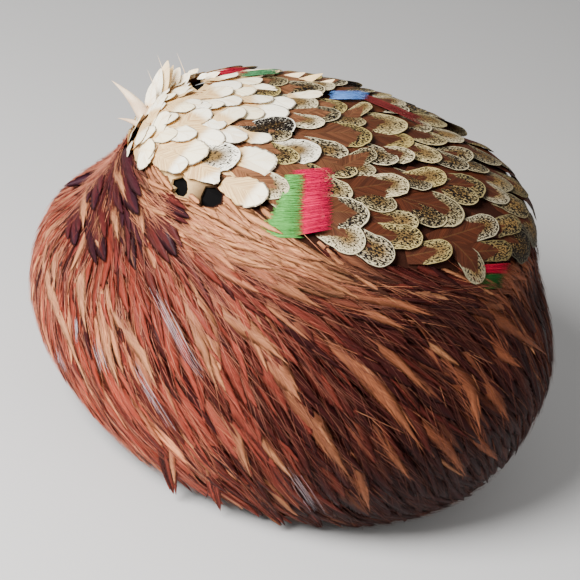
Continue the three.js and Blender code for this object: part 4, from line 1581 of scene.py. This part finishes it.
class FEATHER_HAT_OT_hackles(bpy.types.Operator):
    """Covers the sides in hackles, with tan streaks among them"""

    bl_idname = "feather_hat.hackles"
    bl_label = "Hackles"

    # Filling layers: how often a place is tried, points a spine, spreads of length and width, and the
    # standard deviations of turn and roll
    PLUMES = {
        "tries": 16000, "steps": 8, "length": (0.8, 1.15), "width": (0.75, 1.2), "turn": 0.10, "roll": 0.12,
    }
    BLADES = {
        "tries": 20000, "steps": 7, "length": (0.5, 1.0), "width": (0.4, 1.5), "turn": 0.13, "roll": 0.15,
    }
    STRANDS = {"tries": 30000, "turn": 0.16}
    PLUME_ROOT = (-0.0003, 0.0003)
    PLUME_TIP = (-0.0001, 0.0009)
    PLUME_CORE = (0.3, 0.9)
    PLUME_STREAK = (-0.7, 0.9)
    BLADE_ROOT = 0.0022
    BLADE_TIP = (-0.0006, 0.0004)

    # Picked feathers are a main vane with one beside it on each side. Widths and offsets are shares of
    # the picked half width, and depths are the root's and the tip's under the outline
    BROAD = {
        "form": LANCE, "width": 1.1, "depths": (0.0026, -0.0016), "streak": 0.5,
        "offset": 0.7, "reach": (0.75, 1.05), "side_depths": (0.0024, -0.0013),
        "fringes": 2, "fringe_width": 1.2,
    }
    TAN = {
        "form": WEDGE, "width": 1.4, "depths": (0.0019, -0.0014), "streak": 0.6,
        "offset": 0.6, "reach": (0.80, 0.95), "side_depths": (0.0030, -0.0008),
        "fringes": 3, "fringe_width": 1.3,
    }
    SIDE_WIDTH = 0.7
    BROAD_HIDDEN = 0.5
    BROAD_MAROON = 0.5
    BROAD_PALE = 0.4
    TAN_HIDDEN = 0.25
    TAN_DEEP = 0.72
    TAN_SIDE_SHADE = (0.7, 1.1)
    RIM_SPREAD = (-0.5, 0.5)
    RIM_REACH = (0.75, 1)
    RIM_SHADE = 0.7
    RIM_WIDTH = 0.17
    RIM_DEPTHS = (0.003, 0.0)
    LOOSE_TONE = 0.5

    def execute(self, context):
        self.sizes = sizes = context.scene.feather_hat_sizes
        self.colours = colours = context.scene.feather_hat_colours
        self.chance = chance = random.Random(SEED)
        self.vanes = vanes = Guides("hackle_plumes", under_crown)
        self.fringe = Guides("hackle_fringe", under_crown)
        kept = [
            (surface.at_pixel(pick["root"])[0], surface.at_pixel(pick["tip"])[0], pick["width"] * PIXEL / 2)
            for pick in BROAD_PICKS
        ]

        def free(place):
            return on_side(place) and not any(distance_to_line(place, a, b) < width for a, b, width in kept)

        spacing = scaled(sizes.hackle_spacing)
        for place in Scatter(SEED + 1).places(self.PLUMES["tries"], spacing, free):
            spine, half = self.grown(place, self.PLUMES, sizes.hackle_width)
            depths = (sizes.root_depth + chance.uniform(*self.PLUME_ROOT), chance.uniform(*self.PLUME_TIP))
            hue = hackle_hue(place, chance, colours)
            core = blend(hue, tan_hue(place, chance, colours), chance.uniform(*self.PLUME_CORE))
            streak = max(chance.uniform(*self.PLUME_STREAK), 0)
            roll = chance.gauss(0, self.PLUMES["roll"])
            vanes.add(spine, half, LANCE, depths, hue, chance.random(), core, streak, roll)
            add_fringe(self.fringe, spine, half, hue, chance, sizes, colours)
        self.add_picks()
        material = hued_material(
            "Hackle plumage", contrast=0.45, roughness=0.36, gloss=0.06, slant=3.6, lines_a_metre=1100.0,
            fringed=True,
        )
        settle(make_vanes(vanes, material, ragged=0.10), "hackle_plumage", "hackle_feathers")

        blades = Guides("hackle_blades", under_crown)
        spacing = scaled(sizes.blade_spacing)
        for place in Scatter(SEED + 2).places(self.BLADES["tries"], spacing, free):
            spine, half = self.grown(place, self.BLADES, sizes.blade_width)
            depths = (self.BLADE_ROOT, chance.uniform(*self.BLADE_TIP))
            hue = hackle_hue(place, chance, colours)
            tone = chance.random()
            blades.add(spine, half, BLADE, depths, hue, tone, roll=chance.gauss(0, self.BLADES["roll"]))
        settle(make_vanes(blades, material, camber=0.3, ragged=0.10), "hackle_plumage")

        silk_material = hued_material(
            "Silk plumage", contrast=0.10, roughness=0.34, gloss=0.10, slant=0.0, lines_a_metre=300.0
        )
        strands = Guides("hackle_strands", under_crown)
        for place in Scatter(SEED + 3).places(self.STRANDS["tries"], lambda p: sizes.strand_spacing, on_side):
            hue = hackle_hue(place, chance, colours)
            add_strand(strands, place, chance.gauss(0, self.STRANDS["turn"]), hue, chance, sizes, colours)
        # Painted glints on the hackles
        for pick in GLINT_PICKS:
            add_painted_glint(strands, pick, chance, sizes, colours)
        for silk in (self.fringe, strands):
            settle(make_vanes(silk, silk_material, camber=0.5, ridge=0.4, thickness=1.0), "hackle_plumage")
        return {"FINISHED"}

    def grown(self, place, layer, width):
        """A filling feather's spine and half width."""
        scale = hackle_scale(place)
        length = self.sizes.hackle_length * scale * self.chance.uniform(*layer["length"])
        half = width / 2 * scale * self.chance.uniform(*layer["width"])
        return grow(place, length, layer["steps"], self.chance.gauss(0, layer["turn"])), half

    def add_picks(self):
        """The feathers that show best: broad purple ones, tan streaks, loose ones and ragged rim tips."""
        chance = self.chance
        colours = self.colours
        for pick in BROAD_PICKS:
            spine = picked_spine((pick["root"], pick["tip"]), self.BROAD_HIDDEN)
            hue = blend(colours.hackle_purple, colours.hackle_maroon, chance.random() * self.BROAD_MAROON)
            pale = blend(hue, colours.hackle_left, self.BROAD_PALE)
            self.add_wide(spine, pick, self.BROAD, hue, pale, lambda: blend(hue, pale, chance.random()))
        for pick in STREAK_PICKS:
            spine = picked_spine(pick["path"], self.TAN_HIDDEN)
            hue = tan_hue(spine[-1][0], chance, colours)
            deep = shaded(hue, self.TAN_DEEP)
            shades = self.TAN_SIDE_SHADE
            self.add_wide(spine, pick, self.TAN, hue, deep, lambda: shaded(hue, chance.uniform(*shades)))
        for pick in LOOSE_PICKS:
            half = pick["width"] * PIXEL / 2
            self.vanes.add(standing_spine(pick), half, LANCE, (0, 0), colours.hackle_purple, self.LOOSE_TONE)
        for pick in RIM_PICKS:
            for _ in range(RIM_BLADES):
                spread = chance.uniform(*self.RIM_SPREAD) * pick["width"]
                spine = rim_spine(pick, spread, chance.uniform(*self.RIM_REACH))
                hue = shaded(hackle_hue(spine[0][0], chance, colours), self.RIM_SHADE)
                half = pick["width"] * PIXEL * self.RIM_WIDTH
                self.vanes.add(spine, half, LANCE, self.RIM_DEPTHS, hue, chance.random())

    def add_wide(self, spine, pick, look, hue, core, tint):
        """A picked feather: its main vane, the two beside it in tints of their own, and its fringes."""
        chance = self.chance
        half = true_half_width(spine, pick["width"])
        width = half * look["width"]
        self.vanes.add(spine, width, look["form"], look["depths"], hue, chance.random(), core, look["streak"])
        for hand in (-1, 1):
            side = beside(spine, half * look["offset"] * hand, chance.uniform(*look["reach"]))
            own = tint()
            depths = look["side_depths"]
            self.vanes.add(side, half * self.SIDE_WIDTH, look["form"], depths, own, chance.random())
        for _ in range(look["fringes"]):
            add_fringe(self.fringe, spine, half * look["fringe_width"], hue, chance, self.sizes, self.colours)


# Loose strands: spreads of length, width and depth, and how pale they are; fewer are pale on the right, as
# painted shade
STRAND_LENGTH = (0.5, 1.4)
STRAND_WIDTH = (0.6, 1.4)
STRAND_ROOT = 0.0012
STRAND_TIP = (-0.0012, 0.0002)
STRAND_STEPS = 4
STRAND_PALER = 1.2
STRAND_GAIN = 1.3
STRAND_LESS_PALE_RIGHT = 0.75
STRAND_LESS_PALE_PURPLE = 0.9


def add_strand(silk, place, turn, hue, chance, sizes, colours):
    """One loose strand that ends at a place."""
    length = sizes.strand_length * chance.uniform(*STRAND_LENGTH)
    half = sizes.strand_width / 2 * chance.uniform(*STRAND_WIDTH)
    # Painted shade: fewer pale strands on the right
    pale = chance.random() ** STRAND_PALER * (1 - STRAND_LESS_PALE_RIGHT * zone("strands_right", place))
    pale *= 1 - STRAND_LESS_PALE_PURPLE * purple_share(place)
    hue = blend(shaded(hue, STRAND_GAIN), colours.strand, pale)
    spine = grow(place, length, STRAND_STEPS, turn)
    silk.add(spine, half, HAIR, (STRAND_ROOT, chance.uniform(*STRAND_TIP)), hue, chance.random())


# Barb ends: where along the hackle they end, and how far they reach aside and turn out
BARB_ENDS = (0.35, 1.06)
BARB_REACH = 0.9
BARB_TURN = 0.35


def add_fringe(silk, spine, half, hue, chance, sizes, colours):
    """Barb ends that stand out from a hackle's edges and tip."""
    if len(spine) < 3:
        return
    run = lengths_along(spine)
    for _ in range(FRINGE):
        place, normal = at_share(spine, run, chance.uniform(*BARB_ENDS))
        side = normal.cross(flow(place, normal))
        offset = chance.uniform(-1, 1)
        met = surface.towards(place + side * offset * half * BARB_REACH)
        if met and met[0].z > 0 and below_border(met[0]) > 0:
            add_strand(silk, met[0], offset * BARB_TURN, hue, chance, sizes, colours)


# Painted glints, as white silky strands: where their strands begin and end along the pick, their shade, width
# and depths
GLINT_HIDDEN = 0.1
GLINT_BEGIN = (0, 0.6)
GLINT_END = (0.5, 1.05)
GLINT_STEPS = 4
GLINT_SHADE = (0.6, 1.1)
GLINT_WIDTH = 0.28
GLINT_DEPTHS = (-0.0003, -0.0013)


def add_painted_glint(silk, pick, chance, sizes, colours):
    """A painted glint: many white silky strands side by side that stand for a highlight."""
    spine = picked_spine(pick["path"], GLINT_HIDDEN)
    run = lengths_along(spine)
    half = true_half_width(spine, pick["width"])
    for _ in range(GLINT_STRANDS):
        begin, end = sorted((chance.uniform(*GLINT_BEGIN), chance.uniform(*GLINT_END)))
        offset = chance.uniform(-1, 1) * half
        strand = []
        for k in range(GLINT_STEPS + 1):
            place, normal = at_share(spine, run, begin + (end - begin) * k / GLINT_STEPS)
            side = normal.cross(flow(place, normal))
            strand.append((place + side * offset, normal))
        hue = [min(value, 1) for value in shaded(colours.shine, chance.uniform(*GLINT_SHADE))]
        silk.add(strand, sizes.strand_width * GLINT_WIDTH, HAIR, GLINT_DEPTHS, hue, chance.random())


def distance_to_line(point, first, second):
    along = second - first
    share = min(max((point - first).dot(along) / along.length_squared, 0), 1)
    return (point - first - along * share).length


# Lines kept free: the shares of a picked feather's length that they cover, and their widths
KEPT_FROM = 0.3
KEPT_TO = 1.1
KEPT_WIDTH = 0.55
KEPT_BAND_WIDTH = 0.005
BAND_LINES = (0, 0.5, 1)


def kept_lines():
    """Lines over the crown, each with a width, where no other feather's tip may lie."""
    lines = []
    for pick in CREAM_PICKS + SPECKLED_PICKS + CLEAR_STRIPS:
        root = surface.at_pixel(pick["root"])[0]
        tip = surface.at_pixel(pick["tip"])[0]
        lines.append((root.lerp(tip, KEPT_FROM), root.lerp(tip, KEPT_TO), pick["width"] * PIXEL * KEPT_WIDTH))
    for pick in BAND_PICKS:
        for share in BAND_LINES:
            first = surface.at_pixel(blend(*pick["start"], share))[0]
            second = surface.at_pixel(blend(*pick["end"], share))[0]
            lines.append((first, second, KEPT_BAND_WIDTH))
    return lines


# Crown feathers: picked ones' hidden share, depths and curl, and the filling ones' tries, steps, spreads,
# depths and curl. Near the pole they are closer and shorter
PICKED = {"hidden": 0.5, "depths": (0.0034, 0.0000), "curl": 0.0008}
FILLING = {
    "tries": 5000, "steps": 9, "width": (0.88, 1.12), "length": (0.9, 1.1), "turn": 0.12, "roll": 0.06,
    "root": 0.0039, "tip": (0.0002, 0.0008), "curl": 0.0006,
}
CLOSEST = 0.48
SHORTEST = 0.55


def add_crown_feathers(context, guides, picks, accept, hue, seed):
    """The picked crown feathers and those that fill the rest of the crown around them."""
    sizes = context.scene.feather_hat_sizes
    colours = context.scene.feather_hat_colours
    chance = random.Random(seed)
    scatter = Scatter(seed)
    kept = kept_lines()
    for pick in picks:
        spine = picked_spine((pick["root"], pick["tip"]), PICKED["hidden"])
        scatter.take(spine[-1][0])
        half = true_half_width(spine, pick["width"])
        own = blend(hue(chance, spine[-1][0]), colours.cream, pick.get("pale", 0))
        tone = pick.get("tone", chance.random())
        flecks = pick.get("flecks", chance.random())
        core = centre_hue(spine[-1][0], colours)
        guides.add(spine, half, ROUND, PICKED["depths"], own, tone, core, flecks, curl=PICKED["curl"])

    def spacing(place):
        return sizes.crown_spacing * (CLOSEST + (1 - CLOSEST) * smooth(*SPACING_FROM_POLE, from_pole(place)))

    def free(place):
        return accept(place) and not any(distance_to_line(place, a, b) < width for a, b, width in kept)

    for place in scatter.places(FILLING["tries"], spacing, free):
        share = smooth(*WIDTH_FROM_POLE, from_pole(place))
        width = sizes.pole_width + (sizes.crown_width - sizes.pole_width) * share
        half = width / 2 * chance.uniform(*FILLING["width"])
        length = sizes.crown_length * (SHORTEST + (1 - SHORTEST) * share) * chance.uniform(*FILLING["length"])
        spine = grow(place, length, FILLING["steps"], chance.gauss(0, FILLING["turn"]))
        depths = (FILLING["root"], sizes.tip_depth + chance.uniform(*FILLING["tip"]))
        roll = chance.gauss(0, FILLING["roll"])
        tone = chance.random()
        flecks = chance.random()
        core = centre_hue(place, colours)
        guides.add(spine, half, ROUND, depths, hue(chance, place), tone, core, flecks, roll, FILLING["curl"])


def centre_hue(place, colours):
    """The dark centre's colour, from rust beside the pale feathers to chestnut further right."""
    return blend(colours.rust, colours.chestnut, zone("chestnut", place))


def is_cream(place):
    """The pale feathers' share of the crown, from the pole outwards and further in front."""
    wave = CREAM_WAVE * math.sin(place.y * CREAM_WAVE_PACE)
    return from_pole(place) < CREAM_REACH + CREAM_REACH_IN_FRONT * zone("cream_front", place) + wave


class FEATHER_HAT_OT_cream(bpy.types.Operator):
    """Lays the pale feathers that the fan starts from"""

    bl_idname = "feather_hat.cream"
    bl_label = "Cream feathers"

    SHADE = (0.90, 1.05)
    YELLOW = 0.7
    STANDING_WIDTH = 0.6

    def execute(self, context):
        colours = context.scene.feather_hat_colours

        def hue(chance, place):
            shade = chance.uniform(*self.SHADE)
            yellow = chance.random() * self.YELLOW
            return shaded(blend(colours.cream, colours.straw, yellow), shade)

        def accept(place):
            return on_crown(place) and is_cream(place)

        chance = random.Random(SEED + 12)
        guides = Guides("cream_plumes")
        add_crown_feathers(context, guides, CREAM_PICKS, accept, hue, SEED + 11)
        for pick in STANDING_PICKS:
            half = pick["width"] * PIXEL * self.STANDING_WIDTH
            own = blend(colours.cream, colours.tan, pick["tan"])
            guides.add(standing_spine(pick), half, LANCE, (0, 0), own, chance.random())
        made = make_vanes(guides, cream_material(colours), camber=0.10, ragged=0.05, crisp=True)
        settle(made, "cream_plumage", "cream_feathers")
        return {"FINISHED"}


class FEATHER_HAT_OT_speckled(bpy.types.Operator):
    """Lays the speckled feathers over the rest of the crown"""

    bl_idname = "feather_hat.speckled"
    bl_label = "Speckled feathers"

    SHADE = (0.68, 1.08)
    PAINTED_SHADE_RIGHT = 0.70
    LEAST_SPECKLE = 0.6
    GREY_SHEEN_SHARE = 0.7

    def execute(self, context):
        colours = context.scene.feather_hat_colours

        def hue(chance, place):
            # Painted shade: darker towards the right end, where less light falls
            shade = chance.uniform(*self.SHADE) * (1 - self.PAINTED_SHADE_RIGHT * zone("speckled_right", place))
            speckle = self.LEAST_SPECKLE + (1 - self.LEAST_SPECKLE) * chance.random()
            pale = blend(colours.cream, colours.speckle, speckle)
            # Painted sheen: grey borders at the right end
            return shaded(blend(pale, colours.grey_sheen, zone("grey_sheen", place) * self.GREY_SHEEN_SHARE), shade)

        def accept(place):
            return on_crown(place) and not is_cream(place)

        guides = Guides("speckled_plumes")
        add_crown_feathers(context, guides, SPECKLED_PICKS, accept, hue, SEED + 21)
        made = make_vanes(guides, speckled_material(colours), camber=0.10, ragged=0.05, crisp=True)
        settle(made, "speckled_plumage", "speckled_feathers")
        return {"FINISHED"}


SLOT_OF_COLOUR = {
    "green": "green_dyed_plumage",
    "deep_green": "green_dyed_plumage",
    "pink": "pink_dyed_plumage",
    "red": "red_dyed_plumage",
    "dull_red": "red_dyed_plumage",
    "top_green": "green_dyed_plumage",
    "blue": "blue_dyed_plumage",
}


class FEATHER_HAT_OT_bands(bpy.types.Operator):
    """Lays the dyed barbs of each band"""

    bl_idname = "feather_hat.bands"
    bl_label = "Dyed bands"

    # Spreads of where barbs begin and end along the band, of their shade, depth and width, and the bow of
    # the front band's lower edge
    ROOM_FOR_BARB = 0.35
    LEAST_BARBS = 12
    BEGIN = (-0.30, 0.10, -0.05)
    END = (0.80, 1.18, 1.0)
    BOW = 0.12
    BOW_TURN = 1.5
    SHADE = (0.75, 1.25)
    ROOT_DEPTH = 0.0012
    TIP_DEPTH = (-0.0006, 0.0002)
    WIDTH = (0.7, 1.3)
    STEPS = 5

    def execute(self, context):
        sizes = context.scene.feather_hat_sizes
        colours = context.scene.feather_hat_colours
        chance = random.Random(SEED + 31)
        material = hued_material(
            "Dyed plumage", contrast=0.20, roughness=0.50, gloss=0.0, slant=0.0, lines_a_metre=500.0
        )
        for pick in BAND_PICKS:
            guides = Guides(pick["node"].replace("band", "barbs"))
            first = surface.at_pixel(pick["start"][0])[0]
            last = surface.at_pixel(pick["start"][1])[0]
            barbs = round((last - first).length / sizes.band_barb_width / self.ROOM_FOR_BARB)
            count = max(barbs, self.LEAST_BARBS)
            bow = self.BOW if pick["node"] == "green_band_front" else 0
            for k in range(count):
                share = min(max((k + chance.uniform(-0.5, 0.5)) / count, 0), 1)
                root = surface.at_pixel(blend(*pick["start"], share))[0]
                tip = surface.at_pixel(blend(*pick["end"], share))[0]
                bowed = bow * math.sin(math.pi * self.BOW_TURN * share)
                begin = root.lerp(tip, chance.triangular(*self.BEGIN) + bowed)
                end = root.lerp(tip, chance.triangular(*self.END))
                hue = shaded(getattr(colours, pick["colour"]), chance.uniform(*self.SHADE))
                hue = [min(value, 1) for value in hue]
                depths = (self.ROOT_DEPTH, chance.uniform(*self.TIP_DEPTH))
                half = sizes.band_barb_width / 2 * chance.uniform(*self.WIDTH)
                guides.add(bridge(begin, end, self.STEPS), half, HAIR, depths, hue, chance.random())
            made = make_vanes(guides, material, camber=0.5, ridge=0.3, thickness=0.9)
            settle(made, SLOT_OF_COLOUR[pick["colour"]], pick["node"])
        return {"FINISHED"}


class FEATHER_HAT_OT_quills(bpy.types.Operator):
    """Adds the bare quills that stick out at the left end"""

    bl_idname = "feather_hat.quills"
    bl_label = "Quills"

    RINGS = 10
    SIDES = 10
    ROOT_DEPTH = 0.004
    BOW = 0.3
    BASE = 0.3

    def execute(self, context):
        colours = context.scene.feather_hat_colours
        material = fibre_material(
            "Quill", colours.ivory_shade, colours.ivory, roughness=0.35, patches_a_metre=120.0
        )
        for number, pick in enumerate(QUILL_PICKS, 1):
            root, normal = surface.at_pixel(pick["root"])
            tip = in_plane(root, pick["tip"])
            start = root - normal * self.ROOT_DEPTH
            made = self.spike(f"spike_{number}", start, tip, pick["thick"] / 2)
            made.data.materials.append(material)
            settle(made, "bare_quill", *([pick["node"]] if pick["node"] else []))
        return {"FINISHED"}

    def spike(self, name, start, tip, radius):
        """A closed, slightly bowed spike."""
        along = (tip - start).normalized()
        side = along.cross(VIEW_UP).normalized()
        over = side.cross(along)
        work = bmesh.new()
        rings = []
        for k in range(self.RINGS):
            share = k / self.RINGS
            middle = start.lerp(tip, share) + over * math.sin(math.pi * share) * radius * self.BOW
            size = radius * (1 - share)
            ring = []
            for m in range(self.SIDES):
                angle = 2 * math.pi * m / self.SIDES
                ring.append(work.verts.new(middle + (side * math.cos(angle) + over * math.sin(angle)) * size))
            rings.append(ring)
        base = work.verts.new(start - along * radius * self.BASE)
        point = work.verts.new(tip)
        for k in range(self.SIDES):
            after = (k + 1) % self.SIDES
            work.faces.new((rings[0][after], rings[0][k], base))
            work.faces.new((rings[-1][k], rings[-1][after], point))
            for low, high in zip(rings, rings[1:]):
                work.faces.new((low[k], low[after], high[after], high[k]))
        bmesh.ops.recalc_face_normals(work, faces=work.faces)
        mesh = bpy.data.meshes.new(name)
        work.to_mesh(mesh)
        work.free()
        mesh.shade_smooth()
        made = bpy.data.objects.new(name, mesh)
        bpy.context.scene.collection.objects.link(made)
        return made


OPERATORS = (
    FEATHER_HAT_OT_stage,
    FEATHER_HAT_OT_foundation,
    FEATHER_HAT_OT_underdown,
    FEATHER_HAT_OT_hackles,
    FEATHER_HAT_OT_cream,
    FEATHER_HAT_OT_speckled,
    FEATHER_HAT_OT_bands,
    FEATHER_HAT_OT_quills,
)


class FEATHER_HAT_PT_panel(bpy.types.Panel):
    """Lists the hat's sizes, colours and steps"""

    bl_idname = "FEATHER_HAT_PT_panel"
    bl_label = "Feather Hat"
    bl_space_type = "VIEW_3D"
    bl_region_type = "UI"
    bl_category = "Feather Hat"

    def draw(self, context):
        for name in GROUPS:
            group = getattr(context.scene, name)
            box = self.layout.box()
            for label in group.__annotations__:
                box.prop(group, label)
        for operator in OPERATORS:
            self.layout.operator(operator.bl_idname)


GROUPS = {
    "feather_hat_sizes": FeatherHatSizes,
    "feather_hat_colours": FeatherHatColours,
    "feather_hat_stage": FeatherHatStage,
}
CLASSES = (*GROUPS.values(), *OPERATORS, FEATHER_HAT_PT_panel)


def register():
    for made in CLASSES:
        bpy.utils.register_class(made)
    for name, group in GROUPS.items():
        setattr(bpy.types.Scene, name, bpy.props.PointerProperty(type=group))


def unregister():
    for name in GROUPS:
        delattr(bpy.types.Scene, name)
    for made in reversed(CLASSES):
        bpy.utils.unregister_class(made)


def main():
    register()
    for operator in OPERATORS:
        getattr(bpy.ops.feather_hat, operator.bl_idname.split(".")[1])()


if __name__ == "__main__":
    main()
